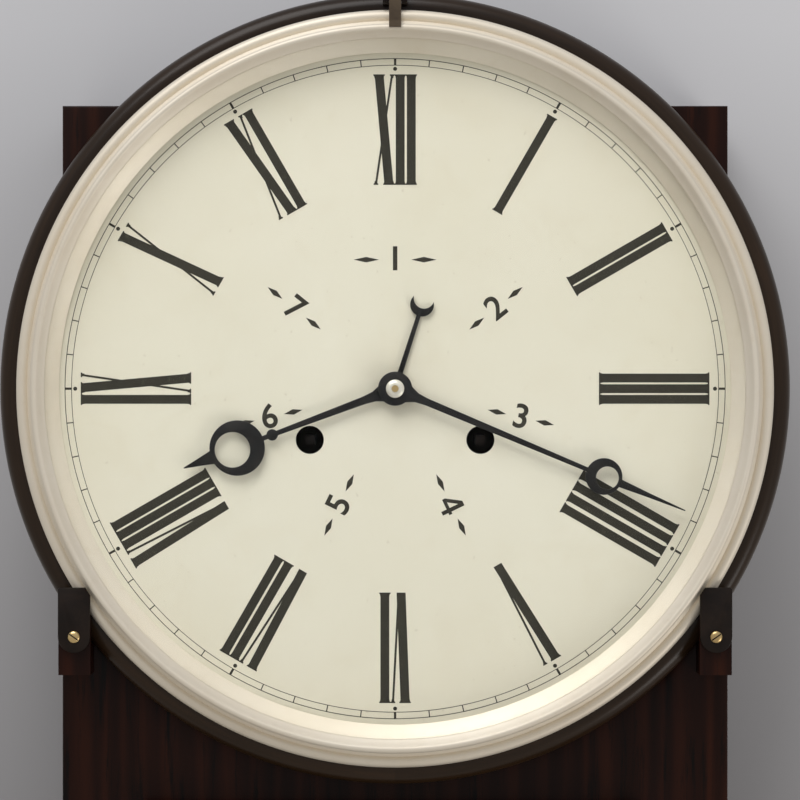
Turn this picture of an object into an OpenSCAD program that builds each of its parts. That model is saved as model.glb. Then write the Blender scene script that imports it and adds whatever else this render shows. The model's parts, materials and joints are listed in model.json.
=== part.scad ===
// Wall clock with a day-of-the-week hand: a round head on a short trunk case, two spring barrels,
// a pendulum and a coil gong. Sizes are in millimetres. The origin is the hanging hole, at the wall.

/* [Shown time] */
// Hour that the hands show
shown_hour = 8; // [0:1:11]
// Minute that the hands show
shown_minute = 18.8; // [0:0.1:59.9]
// Day that the hands show, counted from the one at the top
shown_day = 0; // [0:1:6]

/* [Dial] */
// Outer diameter of the dial plate
dial_d = 331; // [329:0.5:332]
// Thickness of the dial plate
dial_t = 1.2; // [0.8:0.1:2]
// Diameter of the minute track that the minute hand points at
track_d = 305; // [290:1:309]
// Radius of a winding hole in the dial
winding_hole_r = 6.6; // [5.5:0.1:9]

/* [Hands] */
// Reach of the hour hand
hour_reach = 106; // [85:1:125]
// Distance of the hour hand's ring from the arbor
hour_ring_at = 79; // [60:1:84]
// Outer radius of the hour hand's ring
hour_ring_r = 13; // [9:0.5:15]
// Gap between the minute hand's tip and the minute track
minute_tip_gap = 5; // [1:0.5:15]
// Distance of the minute hand's ring from the arbor
minute_ring_at = 106; // [80:1:120]
// Outer radius of the minute hand's ring
minute_ring_r = 8.6; // [6:0.2:11]
// Reach of the day hand
day_reach = 47; // [38:1:52]
// Thickness of a hand
hand_t = 0.8; // [0.6:0.1:1]

/* [Bezel] */
// Outer diameter of the bezel
bezel_d = 355; // [354:0.5:358]
// Diameter of the lip that holds the glass
lip_d = 327; // [324:0.5:328]
// Diameter of the sight ring at the dial
sight_d = 315; // [311:0.5:317]
// Height of the bezel's crown over the surround
bezel_depth = 16.2; // [16:0.1:20]
// Radius of the rolled rim
bead_r = 3.1; // [2.4:0.1:3.4]
// Thickness of the bezel's metal
bezel_sheet = 1.2; // [0.9:0.1:1.4]
// Thickness of the bezel's glass
glass_t = 2.2; // [1.6:0.1:2.4]
// Width of the hinge strap over the bezel
strap_w = 5.6; // [4:0.2:9]
// Radius of the bezel hinge's pin
bezel_pin_r = 1.2; // [1:0.05:1.4]

/* [Catches] */
// Width of a turn catch
catch_w = 15; // [12:0.5:16]
// Drop from the bezel's rim to a catch's pivot
catch_drop = 21.1; // [19.1:0.1:25.1]
// Drop from a catch's tip to its pivot
catch_tip_drop = 23; // [19:0.5:28]
// Thickness of a catch
catch_t = 3.5; // [2.5:0.1:5]

/* [Case] */
// Width of the case
case_w = 315; // [312:1:330]
// Height of the case over the dial's centre
case_rise = 134; // [125:1:140]
// Depth of the case below the dial's centre
case_drop = 366; // [360:1:440]
// Distance from the wall to the front of the case
case_depth = 92; // [90:1:110]
// Thickness of the side, top and bottom boards
board_t = 12; // [9:0.5:16]
// Thickness of the back board
back_t = 10; // [8:0.5:11]
// Thickness of the front board
front_t = 10; // [8:0.5:12]
// Outer diameter of the round surround
surround_d = 372; // [368:1:380]
// Thickness of the round surround
surround_t = 18; // [15:0.5:22]
// Width of the surround's ring
surround_band = 38; // [36:0.5:41]
// Width of the front board beside its round hole
front_margin = 9.5; // [7.5:0.5:12.5]
// Height of the base moulding
moulding_h = 18; // [14:1:24]
// How far the base moulding stands out
moulding_out = 8; // [5:0.5:12]

/* [Hanger] */
// Height of the hanging hole over the dial's centre
hang_rise = 150; // [146:1:156]
// Radius of the hanging hole
hang_hole_r = 4.5; // [3:0.1:5.5]
// Width of the hanger plate
hanger_w = 40; // [32:1:60]
// Thickness of the hanger plate
hanger_t = 2; // [1.5:0.1:3]

/* [Trunk door] */
// Width of the door
door_w = 236; // [200:1:260]
// Thickness of the door
door_t = 14; // [11:0.5:18]
// Width of the door's stiles and rails
stile_w = 28; // [24:0.5:32]
// Drop from the surround's edge to the door
door_drop = 10; // [8:0.5:14]
// Gap between the door and the base moulding
door_foot = 2; // [1:0.5:22]
// Thickness of the door's glass
door_glass_t = 2; // [1.5:0.1:3]
// Radius of the door hinges' pins
door_pin_r = 1.25; // [1:0.05:1.5]

/* [Movement] */
// Distance from the wall to the movement's back plate
setback = 32; // [31:0.5:34]
// Thickness of a movement plate
plate_t = 1.8; // [1.5:0.1:2.2]
// Space between the plates
plate_gap = 34; // [33:0.5:36]
// Width of the plates
plate_w = 136; // [132:1:144]
// Height of the plates over the centre arbor
plate_rise = 84; // [82:1:90]
// Depth of the plates below the centre arbor
plate_drop = 60; // [58:1:66]
// Sideways distance of a winding square from the centre
winding_x = 40; // [39.5:0.1:40.5]
// Distance of the winding squares below the centre
winding_drop = 24; // [23.5:0.1:24.5]
// Radius of a thin arbor
arbor_r = 1.2; // [1:0.05:1.3]
// Radius of a winding arbor
winding_arbor_r = 3; // [2.6:0.1:3.3]
// Running clearance of an arbor in its hole
run_fit = 0.05; // [0.03:0.01:0.09]
// Clearance of pieces that only fit together
fit = 0.2; // [0.1:0.05:0.3]
// Radius of a wood screw's shank
screw_r = 1.5; // [1.2:0.1:1.7]
// Length of a wood screw's shank
screw_l = 7; // [5:0.5:7.5]

/* [Wheels] */
// Radius of the escape wheel
escape_r = 16; // [15.5:0.1:16.4]
// Height of the escape arbor over the centre
escape_rise = 42; // [41.5:0.1:42.5]
// Thickness of a wheel
wheel_t = 1.6; // [1.2:0.1:2]
// Height of a spring barrel
barrel_h = 24; // [20:0.5:24.5]

/* [Pendulum] */
// How much the length from suspension pin to bob falls short of the case's depth
pendulum_short = 22; // [16:1:31]
// Radius of the bob
bob_r = 33; // [26:1:36]
// Thickness of the bob
bob_t = 13; // [10:0.5:14]
// Radius of the pendulum rod
rod_r = 1.5; // [1.2:0.1:1.8]

/* [Gong] */
// Outer radius of the gong
gong_r = 37; // [32:1:42]
// Turns of the gong
gong_turns = 4; // [3:1:5]
// Width of the gong's wire
gong_wire = 2.2; // [1.8:0.1:2.6]
// Distance of the gong's centre below the dial's centre
gong_drop = 150; // [145:1:160]

/* [Hidden] */
$fn = 64;

// Colours of the materials
dark_wood = [0.17, 0.10, 0.07];
brass = [0.78, 0.64, 0.36];
pale_brass = [0.86, 0.80, 0.68];
steel = [0.55, 0.56, 0.58];
blued = [0.10, 0.10, 0.11];
paint = [0.88, 0.86, 0.78];
clear_glass = [0.85, 0.92, 0.92, 0.35];

// Teeth of the wheels and leaves of the pinions
barrel_teeth = 60;
second_leaves = 10;
second_teeth = 60;
centre_leaves = 10;
centre_teeth = 68;
third_teeth = 96;
fine_leaves = 8;
escape_teeth = 30;
pin_teeth = 56;
ratchet_teeth = 24;

// Levels counted forward from the wall
surround_z = case_depth + surround_t;
dial_z = surround_z + dial_t;
seat_gap = 0.3;
head_hole_d = surround_d - 2 * surround_band;
front_hole_d = case_w - 2 * front_margin;
bezel_r = bezel_d / 2;
crown_r = 1.8;
crown_at = bezel_r - 2 * bead_r - bezel_sheet - crown_r;
crown_z = surround_z + bezel_depth - crown_r;
lip_z = surround_z + 11.6;
glass_r = lip_d / 2 + 2.6;
glass_z = lip_z - glass_t - 0.1;
plate_back = setback;
plate_in = setback + plate_t;
plate_front_in = plate_in + plate_gap;
plate_front = plate_front_in + plate_t;

// Places of the arbors about the centre of the dial
centre = [0, 0];
time_at = [winding_x, -winding_drop];
strike_at = [-winding_x, -winding_drop];
barrel_m = 0.8;
second_m = 0.7;
centre_m = 0.6;
third_m = 0.42;
pin_m = 0.6;
second_at = meet(centre, time_at, spacing(second_teeth, centre_leaves, second_m),
    spacing(barrel_teeth, second_leaves, barrel_m), 1);
strike_second_at = [-second_at[0], second_at[1]];
escape_at = [0, escape_rise];
third_at = meet(centre, escape_at, spacing(centre_teeth, fine_leaves, centre_m),
    spacing(third_teeth, fine_leaves, third_m), -1);
pin_at = strike_second_at + spacing(second_teeth, fine_leaves, second_m) * unit(115);
fly_at = pin_at + spacing(pin_teeth, fine_leaves, pin_m) * unit(60);
pallet_half = 45;
anchor_at = escape_at + [0, escape_r / cos(pallet_half)];

// Motion work in front of the front plate
motion_m = 0.75;
minute_m = 0.72;
day_m = 0.5;
day_wheel_m = 0.6;
cannon_leaves = 12;
minute_teeth = 36;
minute_leaves = 10;
hour_teeth = 40;
hour_leaves = 20;
idler_teeth = 70;
idler_leaves = 15;
day_teeth = 60;
minute_stud_at = [0, -spacing(cannon_leaves, minute_teeth, motion_m)];
idler_at = [0, spacing(hour_leaves, idler_teeth, day_m)];
centre_r = 1.6;
pipe_wall = 0.85;
cannon_r = centre_r + run_fit + pipe_wall;
hour_pipe_r = cannon_r + run_fit + pipe_wall;
day_pipe_r = hour_pipe_r + run_fit + pipe_wall;
stud_r = 1.5;

// Levels of the hands in front of the dial
day_hand_z = dial_z + 1;
hour_hand_z = day_hand_z + hand_t + 1;
minute_hand_z = hour_hand_z + hand_t + 1;
nut_z = minute_hand_z + hand_t;

// Angles of the hands, clockwise from the top
minute_angle = shown_minute * 6;
hour_angle = (shown_hour + shown_minute / 60) * 30;
day_angle = (shown_day + hour_angle / 720) * 360 / 7;

// Teeth: half widths as shares of the pitch at the root, the pitch circle and the tip
root_half = 0.26;
pitch_half = 0.185;
tip_half = 0.075;
addendum = 0.85;
dedendum = 1.15;

function unit(a) = [cos(a), sin(a)];
function spacing(a, b, m) = (a + b) * m / 2;
function direction(a, b) = atan2(b[1] - a[1], b[0] - a[0]);
// Point at distance ra from a and rb from b, to the left of the line from a to b where side is 1
function meet(a, b, ra, rb, side) =
    let (
        d = norm(b - a),
        along = (ra * ra - rb * rb + d * d) / (2 * d),
        off = sqrt(ra * ra - along * along),
        u = (b - a) / d
    )
    a + along * u + side * off * [-u[1], u[0]];
// Phase of gear b that puts it in mesh with gear a, which lies in the direction dir from a to b
function mesh_phase(teeth_a, phase_a, dir, teeth_b) =
    dir + 180 - 360 / teeth_b * (0.5 - (dir - phase_a) * teeth_a / 360);

// Outline of a gear: six points a tooth, the first tooth at the angle phase
function gear_points(teeth, m, phase) =
    let (
        r = teeth * m / 2,
        pitch = 360 / teeth,
        profile = [
            [r - dedendum * m, -root_half],
            [r, -pitch_half],
            [r + addendum * m, -tip_half],
            [r + addendum * m, tip_half],
            [r, pitch_half],
            [r - dedendum * m, root_half]
        ]
    )
    [for (i = [0:teeth - 1]) for (p = profile) p[0] * unit(phase + (i + p[1]) * pitch)];

// Both edges of a flat spiral band that runs from radius r0 to r1
spiral_steps = 30;
function spiral_points(r0, r1, turns, width) =
    let (n = turns * spiral_steps)
    [
        for (side = [-1, 1])
        for (k = [0:n])
        let (i = side < 0 ? k : n - k)
        (r0 + (r1 - r0) * i / n + side * width / 2) * unit(360 * i / spiral_steps)
    ];

// The model is drawn as seen from the front, with z forward from the wall, and then stood up
module stand() {
    translate([0, 0, -hang_rise]) rotate([90, 0, 0]) children();
}

module disc(r, z0, z1, at = [0, 0]) {
    translate([at[0], at[1], z0]) cylinder(r = r, h = z1 - z0);
}

module slab(x0, x1, y0, y1, z0, z1) {
    translate([x0, y0, z0]) cube([x1 - x0, y1 - y0, z1 - z0]);
}

module both_sides() {
    children();
    mirror([1, 0, 0]) children();
}

// A rod along the x axis from x0 to x1
module cross_rod(r, x0, x1, y, z) {
    translate([x0, y, z]) rotate([0, 90, 0]) cylinder(r = r, h = x1 - x0);
}

module gear(teeth, m, phase, z0, thickness) {
    translate([0, 0, z0]) linear_extrude(thickness) polygon(gear_points(teeth, m, phase));
}

// A wheel with its rim, crossings and hub
module crossed_gear(teeth, m, phase, z0, thickness, hub_r, arms = 4) {
    inner = teeth * m / 2 - 2.6 * m - 1.2;
    arm_w = max(2, inner * 0.14);
    difference() {
        gear(teeth, m, phase, z0, thickness);
        difference() {
            disc(inner, z0 - 1, z0 + thickness + 1);
            disc(hub_r, z0 - 2, z0 + thickness + 2);
            for (i = [0:arms - 1])
                rotate(i * 360 / arms)
                    slab(0, inner + 1, -arm_w / 2, arm_w / 2, z0 - 2, z0 + thickness + 2);
        }
    }
}

// Screws

screw_head_r = 2.8;
screw_head_t = 1.2;
hanger_screw_y = case_rise - 18;
hanger_screw_x = hanger_w / 2 - 9;
dial_screw_at = dial_d / 2 - 3.4;
block_w = 15;
block_places = [[plate_w / 2 - 14, plate_rise - 14], [20, -plate_drop + 9]];

module wood_screw() {
    disc(screw_head_r, 0, screw_head_t);
    disc(screw_r, -screw_l, 0);
}

module screw_hole() {
    disc(screw_r + fit / 2, -screw_l - fit, 1);
}

module at_hanger_screws() {
    both_sides()
        translate([hanger_screw_x, hanger_screw_y, screw_head_t]) rotate([0, 180, 0]) children();
}

module at_block_screws() {
    both_sides() for (p = block_places) translate([p[0], p[1], plate_in]) children();
}

module at_dial_screws() {
    for (a = [45:90:315])
        translate([dial_screw_at * cos(a), dial_screw_at * sin(a), dial_z]) children();
}

module at_catch_screws() {
    both_sides() translate([catch_x, catch_y, catch_top]) children();
}

module wood_screws() {
    color(brass) stand() {
        at_hanger_screws() wood_screw();
        at_block_screws() wood_screw();
        at_dial_screws() wood_screw();
        at_catch_screws() wood_screw();
    }
}

// Case

gong_stud_r = 3;
gong_stud_l = 7;
hanger_l = 34;
hanger_low = case_rise - hanger_l;

module back_board() {
    color(dark_wood) stand() difference() {
        slab(-case_w / 2, case_w / 2, -case_drop, case_rise, 0, back_t);
        slab(-hanger_w / 2 - fit, hanger_w / 2 + fit, hanger_low - fit, case_rise + 1, -1, hanger_t);
        at_hanger_screws() screw_hole();
        disc(gong_stud_r + fit / 2, back_t - gong_stud_l - fit, back_t + 1, [0, -gong_drop]);
    }
}

module case_boards() {
    inner = case_w / 2 - board_t;
    top = case_depth - front_t;
    color(dark_wood) stand() {
        both_sides() slab(inner, case_w / 2, -case_drop, case_rise, back_t, top);
        slab(-inner, inner, case_rise - board_t, case_rise, back_t, top);
        slab(-inner, inner, -case_drop, -case_drop + board_t, back_t, top);
    }
}

door_lap = 13;
door_top = -surround_d / 2 - door_drop;
door_low = -case_drop + moulding_h + door_foot;
door_h = door_top - door_low;

module front_board() {
    z0 = case_depth - front_t;
    color(dark_wood) stand() difference() {
        slab(-case_w / 2, case_w / 2, -case_drop, case_rise, z0, case_depth);
        disc(front_hole_d / 2, z0 - 1, case_depth + 1);
        slab(-door_w / 2 + door_lap, door_w / 2 - door_lap, door_low + door_lap,
            door_top - door_lap, z0 - 1, case_depth + 1);
    }
}

surround_round = 7;
mortise_depth = 5;
module dial_surround() {
    ring_r = surround_d / 2;
    hole_r = head_hole_d / 2;
    ears = strap_w / 2 + ear_gap + ear_w;
    color(dark_wood) stand() difference() {
        rotate_extrude($fn = 128) union() {
            translate([hole_r, case_depth]) square([ring_r - hole_r, surround_t - surround_round]);
            translate([hole_r, case_depth]) square([ring_r - surround_round - hole_r, surround_t]);
            translate([ring_r - surround_round, surround_z - surround_round]) circle(surround_round);
        }
        slab(-ears, ears, bezel_r + 1.5, ring_r + 1, surround_z - mortise_depth, surround_z + 1);
        at_dial_screws() screw_hole();
    }
}

moulding_base = 10;
module base_moulding() {
    half = case_w / 2;
    color(dark_wood) stand() difference() {
        union() {
            slab(-half - moulding_out, half + moulding_out, -case_drop,
                -case_drop + moulding_base, 0, case_depth + moulding_out);
            slab(-half - moulding_out / 2, half + moulding_out / 2, -case_drop + moulding_base,
                -case_drop + moulding_h, 0, case_depth + moulding_out / 2);
        }
        slab(-half, half, -case_drop - 1, -case_drop + moulding_h + 1, -1, case_depth);
    }
}

module hanger_plate() {
    color(steel) stand() difference() {
        union() {
            slab(-hanger_w / 2, hanger_w / 2, hanger_low, hang_rise, 0, hanger_t);
            disc(hanger_w / 2, 0, hanger_t, [0, hang_rise]);
        }
        disc(hang_hole_r, -1, hanger_t + 1, [0, hang_rise]);
        at_hanger_screws() disc(screw_r + fit / 2, -hanger_t - 1, 1);
        at_hanger_screws() disc(screw_head_r + fit, -fit / 2, screw_head_t + 1);
    }
}

// Bezel

// Section of the bezel, with x outward and y forward: a rolled rim, a wall, a crown and a sloping lip
module bezel_section() {
    foot = surround_z + seat_gap;
    bead_at = bezel_r - bead_r;
    wall = crown_at + crown_r;
    lip = lip_d / 2;
    translate([bead_at, foot + bead_r]) circle(bead_r);
    translate([wall - bezel_sheet, foot]) square([bead_at - wall + bezel_sheet, bezel_sheet]);
    translate([wall - bezel_sheet, foot]) square([bezel_sheet, crown_z - foot]);
    translate([crown_at, crown_z]) circle(crown_r);
    polygon([
        [crown_at + 0.4, crown_z - 1.2],
        [crown_at - 1.1, crown_z + 1.42],
        [lip, lip_z + bezel_sheet],
        [lip, lip_z]
    ]);
    translate([glass_r + fit, glass_z - 1.5]) square([bezel_sheet, lip_z - glass_z + 2.5]);
}

module bezel_ring() {
    color(pale_brass) stand() rotate_extrude($fn = 128) bezel_section();
}

module bezel_glass() {
    color(clear_glass) stand() disc(glass_r, glass_z, glass_z + glass_t, $fn = 128);
}

module sight_ring() {
    inner = sight_d / 2;
    top = glass_z - 0.1;
    low = dial_z + 0.7;
    wall = bezel_sheet * 0.7;
    color(pale_brass) stand() rotate_extrude($fn = 128)
        polygon([
            [inner, low],
            [inner + wall, low - 0.2],
            [glass_r - 0.3, top - wall],
            [glass_r, top - wall],
            [glass_r, top],
            [glass_r - 1.2, top]
        ]);
}

strap_t = 1.2;
ear_w = 2.6;
ear_gap = 0.3;
knuckle_r = bezel_pin_r + 1.4;
hinge_y = bezel_r + 5;
strap_z = surround_z + seat_gap + 2 * bead_r + 0.4;
hinge_z = strap_z + strap_t - knuckle_r;

module bezel_hinge_strap() {
    x = strap_w / 2;
    out = crown_at + crown_r + fit / 2;
    top = crown_z + crown_r + fit / 2;
    color(dark_wood) stand() difference() {
        union() {
            cross_rod(knuckle_r, -x, x, hinge_y, hinge_z);
            slab(-x, x, out, hinge_y, strap_z, strap_z + strap_t);
            slab(-x, x, out, out + strap_t, strap_z, top + strap_t);
            slab(-x, x, crown_at, out + strap_t, top, top + strap_t);
        }
        cross_rod(bezel_pin_r + run_fit, -x - 1, x + 1, hinge_y, hinge_z);
    }
}

module bezel_hinge_base() {
    x = strap_w / 2 + ear_gap;
    color(dark_wood) stand() {
        both_sides() {
            slab(x, x + ear_w, hinge_y - knuckle_r, hinge_y + knuckle_r,
                surround_z - mortise_depth, hinge_z);
            cross_rod(knuckle_r, x, x + ear_w, hinge_y, hinge_z);
        }
        cross_rod(bezel_pin_r, -x - ear_w, x + ear_w, hinge_y, hinge_z);
        slab(-x - ear_w, x + ear_w, hinge_y - knuckle_r, hinge_y + knuckle_r,
            surround_z - mortise_depth, surround_z - mortise_depth + 2);
    }
}

// Turn catches

catch_x = (case_w - catch_w) / 2;
catch_y = -sqrt(bezel_r * bezel_r - catch_x * catch_x) - catch_drop;
catch_z = surround_z + seat_gap + 2 * bead_r + 0.3;
catch_top = catch_z + catch_t;
catch_clear_r = crown_at + crown_r + 2.1;
catch_block_below = 18;
catch_block_above = 17;

module catch_blocks() {
    color(dark_wood) stand() both_sides() difference() {
        slab(catch_x - catch_w / 2, catch_x + catch_w / 2, catch_y - catch_block_below,
            catch_y + catch_block_above, case_depth, catch_z - 0.1);
        disc(surround_d / 2 + fit, case_depth - 1, surround_z + fit, $fn = 128);
        disc(bezel_r + 1, surround_z, catch_z + 1, $fn = 128);
        translate([catch_x, catch_y, catch_top]) screw_hole();
    }
}

module turn_catch() {
    difference() {
        union() {
            disc(catch_w / 2, catch_z, catch_top, [catch_x, catch_y]);
            slab(catch_x - catch_w / 2, catch_x + catch_w / 2, catch_y, catch_y + catch_tip_drop,
                catch_z, catch_top);
        }
        disc(catch_clear_r, catch_z - 1, catch_top + 1, $fn = 128);
        disc(screw_r + run_fit, catch_z - 1, catch_top + 1, [catch_x, catch_y]);
    }
}

module bezel_catch_right() {
    color(dark_wood) stand() turn_catch();
}

module bezel_catch_left() {
    color(dark_wood) stand() mirror([1, 0, 0]) turn_catch();
}

// Dial

module dial_plate() {
    color(paint) stand() difference() {
        disc(dial_d / 2, surround_z, dial_z, $fn = 128);
        disc(day_pipe_r + 1.2, surround_z - 1, dial_z + 1);
        both_sides() disc(winding_hole_r, surround_z - 1, dial_z + 1, time_at);
        at_dial_screws() disc(screw_r + fit / 2, -dial_t - 1, 1);
    }
}

// Trunk door, hinged at its left edge

door_z = case_depth + 0.4;
door_front = door_z + door_t;
glass_seat = 5;
leaf_t = 1.2;
leaf_w = 12;
strap_reach = 10;
door_knuckle_r = door_pin_r + 1.6;
door_hinge_x = -door_w / 2 - door_knuckle_r - 0.55;
door_hinge_z = door_z + 3.4;
door_hinge_h = 30;
door_hinge_in = 18;
door_hinge_ys = [door_low + door_hinge_in, door_top - door_hinge_in - door_hinge_h];
knob_shaft_r = 2.5;
knob_x = door_w / 2 - door_lap - knob_shaft_r - 2.5;
knob_y = door_low + door_h / 2;

module door_frame() {
    x = door_w / 2 - stile_w;
    y0 = door_low + stile_w;
    y1 = door_top - stile_w;
    color(dark_wood) stand() difference() {
        slab(-door_w / 2, door_w / 2, door_low, door_top, door_z, door_front);
        slab(-x, x, y0, y1, door_z - 1, door_front + 1);
        slab(-x - glass_seat, x + glass_seat, y0 - glass_seat, y1 + glass_seat,
            door_z - 1, door_z + door_t / 2);
        disc(knob_shaft_r + run_fit, door_z - 1, door_front + 1, [knob_x, knob_y]);
        for (y = door_hinge_ys)
            slab(-door_w / 2 - 1, -door_w / 2 + strap_reach + fit, y - fit, y + door_hinge_h + fit,
                door_hinge_z - leaf_t / 2 - fit, door_hinge_z + leaf_t / 2 + fit);
    }
}

module door_glass() {
    m = glass_seat - 0.5;
    z1 = door_z + door_t / 2 - 0.1;
    color(clear_glass) stand()
        slab(-door_w / 2 + stile_w - m, door_w / 2 - stile_w + m, door_low + stile_w - m,
            door_top - stile_w + m, z1 - door_glass_t, z1);
}

bead_w = 4;
bead_t = 3;
module door_beads() {
    m = glass_seat - 0.3;
    x = door_w / 2 - stile_w + m;
    y0 = door_low + stile_w - m;
    y1 = door_top - stile_w + m;
    z1 = door_z + door_t / 2 - door_glass_t - 0.2;
    color(dark_wood) stand() {
        both_sides() slab(x - bead_w, x, y0, y1, z1 - bead_t, z1);
        slab(-x + bead_w, x - bead_w, y0, y0 + bead_w, z1 - bead_t, z1);
        slab(-x + bead_w, x - bead_w, y1 - bead_w, y1, z1 - bead_t, z1);
    }
}

// An upright rod on the axis of the door's hinges
module hinge_rod(r, y0, y1) {
    translate([door_hinge_x, y0, door_hinge_z]) rotate([-90, 0, 0]) cylinder(r = r, h = y1 - y0);
}

module door_hinge_leaves() {
    third = door_hinge_h / 3;
    color(brass) stand() for (y = door_hinge_ys) {
        hinge_rod(door_pin_r, y, y + door_hinge_h);
        for (s = [0, 2]) {
            hinge_rod(door_knuckle_r, y + s * third, y + (s + 1) * third);
            slab(door_hinge_x - door_knuckle_r, door_hinge_x, y + s * third,
                y + (s + 1) * third, case_depth, door_hinge_z);
        }
        slab(door_hinge_x - leaf_w, door_hinge_x - door_knuckle_r, y, y + door_hinge_h,
            case_depth, case_depth + leaf_t);
    }
}

module door_hinge_straps() {
    third = door_hinge_h / 3;
    color(brass) stand() for (y = door_hinge_ys) {
        difference() {
            union() {
                hinge_rod(door_knuckle_r, y + third + 0.2, y + 2 * third - 0.2);
                slab(door_hinge_x, -door_w / 2 + strap_reach, y + third + 0.2, y + 2 * third - 0.2,
                    door_hinge_z - leaf_t / 2, door_hinge_z + leaf_t / 2);
                slab(-door_w / 2, -door_w / 2 + strap_reach, y, y + door_hinge_h,
                    door_hinge_z - leaf_t / 2, door_hinge_z + leaf_t / 2);
            }
            hinge_rod(door_pin_r + run_fit, y, y + door_hinge_h);
        }
    }
}

knob_r = 8;
knob_neck = 5;
tongue_l = 14;
tongue_t = 3;
module door_knob() {
    tongue_z = case_depth - front_t - 1 - tongue_t;
    color(brass) stand() translate([knob_x, knob_y, 0]) {
        disc(knob_shaft_r, tongue_z, door_front + knob_neck);
        disc(knob_shaft_r + 2, door_front + 0.2, door_front + 1.4);
        translate([0, 0, door_front + knob_neck]) rotate_extrude() intersection() {
            translate([0, 2.5]) circle(knob_r);
            square([knob_r, 8]);
        }
        slab(-4, tongue_l, -4, 4, tongue_z, tongue_z + tongue_t);
    }
}

// Movement

pillar_r = 3.5;
pillar_tenon_r = 2;
nut_h = 3;
pillar_places = [
    for (x = [-1, 1])
    for (y = [plate_rise - 6, -plate_drop + 6])
    [x * (plate_w / 2 - 5), y]
];
anchor_r = 1.5;
hammer_at = [-56, 30];
thin_arbors = [second_at, strike_second_at, third_at, escape_at, pin_at, fly_at, hammer_at];

module movement_blocks() {
    color(dark_wood) stand() difference() {
        both_sides() for (p = block_places)
            slab(p[0] - block_w / 2, p[0] + block_w / 2, p[1] - block_w / 2, p[1] + block_w / 2,
                back_t, plate_back);
        at_block_screws() screw_hole();
    }
}

// A plate with the holes of every arbor, its back at z0
module drilled_plate(z0) {
    z1 = z0 + plate_t + 1;
    difference() {
        slab(-plate_w / 2, plate_w / 2, -plate_drop, plate_rise, z0, z0 + plate_t);
        for (p = pillar_places) disc(pillar_tenon_r + run_fit, z0 - 1, z1, p);
        for (p = thin_arbors) disc(arbor_r + run_fit, z0 - 1, z1, p);
        disc(centre_r + run_fit, z0 - 1, z1);
        disc(anchor_r + run_fit, z0 - 1, z1, anchor_at);
        both_sides() disc(winding_arbor_r + run_fit, z0 - 1, z1, time_at);
    }
}

module back_plate() {
    color(brass) stand() difference() {
        drilled_plate(plate_back);
        at_block_screws() disc(screw_r + fit / 2, -plate_t - 1, 1);
    }
}

access_r = 4.5;
module front_plate() {
    color(brass) stand() {
        difference() {
            drilled_plate(plate_front_in);
            both_sides() for (p = block_places)
                disc(access_r, plate_front_in - 1, plate_front + 1, p);
        }
        disc(stud_r, plate_front, minute_z + 8, minute_stud_at);
        disc(stud_r, plate_front, day_z + 3, idler_at);
        for (c = clicks) disc(stud_r, plate_front, ratchet_z + wheel_t + 1, click_pivot(c));
    }
}

module plate_pillars() {
    color(steel) stand() for (p = pillar_places) {
        disc(pillar_r, plate_in, plate_front_in, p);
        disc(pillar_tenon_r, plate_back, plate_front + nut_h + 1, p);
    }
}

module pillar_nuts() {
    color(brass) stand() for (p = pillar_places) difference() {
        translate([p[0], p[1], plate_front]) cylinder(r = pillar_r, h = nut_h, $fn = 6);
        disc(pillar_tenon_r, plate_front - 1, plate_front + nut_h + 1, p);
    }
}

// Levels inside the movement
barrel_z = plate_in + 4.2;
barrel_tooth_t = 2.5;
second_z = plate_front_in - 2 - wheel_t;
centre_z = plate_in + 10.2;
third_z = plate_in + 16.2;
escape_z = plate_in + 22.2;
strike_second_z = plate_in + 1.2;
pin_z = plate_in + 12.2;
fly_z = plate_in + 18.2;
ratchet_z = plate_front + 0.5;
square_end = surround_z - 4;

module thin_arbor(at) {
    disc(arbor_r, plate_back, plate_front, at);
}

// Winding arbors with their ratchets, and the clicks

clicks = [[time_at, 20], [strike_at, 70]];
ratchet_r = 12;
ratchet_deep = 1.7;
click_at = 16.3;
function click_pivot(c) = c[0] + click_at * unit(c[1] + 45);

function ratchet_points(phase) =
    let (pitch = 360 / ratchet_teeth)
    [
        for (i = [0:ratchet_teeth - 1])
        for (r = [ratchet_r, ratchet_r - ratchet_deep])
        r * unit(phase + i * pitch)
    ];

core_r = 6;
square_w = 4.4;
module winding_arbor(c) {
    translate([c[0][0], c[0][1], 0]) {
        disc(winding_arbor_r, plate_back, ratchet_z + wheel_t + 1);
        disc(core_r, barrel_z + barrel_tooth_t + 0.3, barrel_z + barrel_h - 1.8);
        translate([0, 0, ratchet_z]) linear_extrude(wheel_t) polygon(ratchet_points(c[1]));
        slab(-square_w / 2, square_w / 2, -square_w / 2, square_w / 2,
            ratchet_z + wheel_t, square_end);
    }
}

module click_pawl(c) {
    p = click_pivot(c);
    difference() {
        union() {
            disc(stud_r + 1.4, ratchet_z, ratchet_z + wheel_t, p);
            translate([c[0][0], c[0][1], ratchet_z]) linear_extrude(wheel_t) polygon([
                10.9 * unit(c[1] + 2),
                14.5 * unit(c[1] - 3),
                18.9 * unit(c[1] + 42),
                14.4 * unit(c[1] + 50),
                12.8 * unit(c[1] + 30),
                12.5 * unit(c[1] + 14)
            ]);
        }
        disc(stud_r + run_fit, ratchet_z - 1, ratchet_z + wheel_t + 1, p);
    }
}

module time_winding_arbor() {
    color(steel) stand() winding_arbor(clicks[0]);
}

module strike_winding_arbor() {
    color(steel) stand() winding_arbor(clicks[1]);
}

module time_click() {
    color(steel) stand() click_pawl(clicks[0]);
}

module strike_click() {
    color(steel) stand() click_pawl(clicks[1]);
}

// Spring barrels

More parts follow.
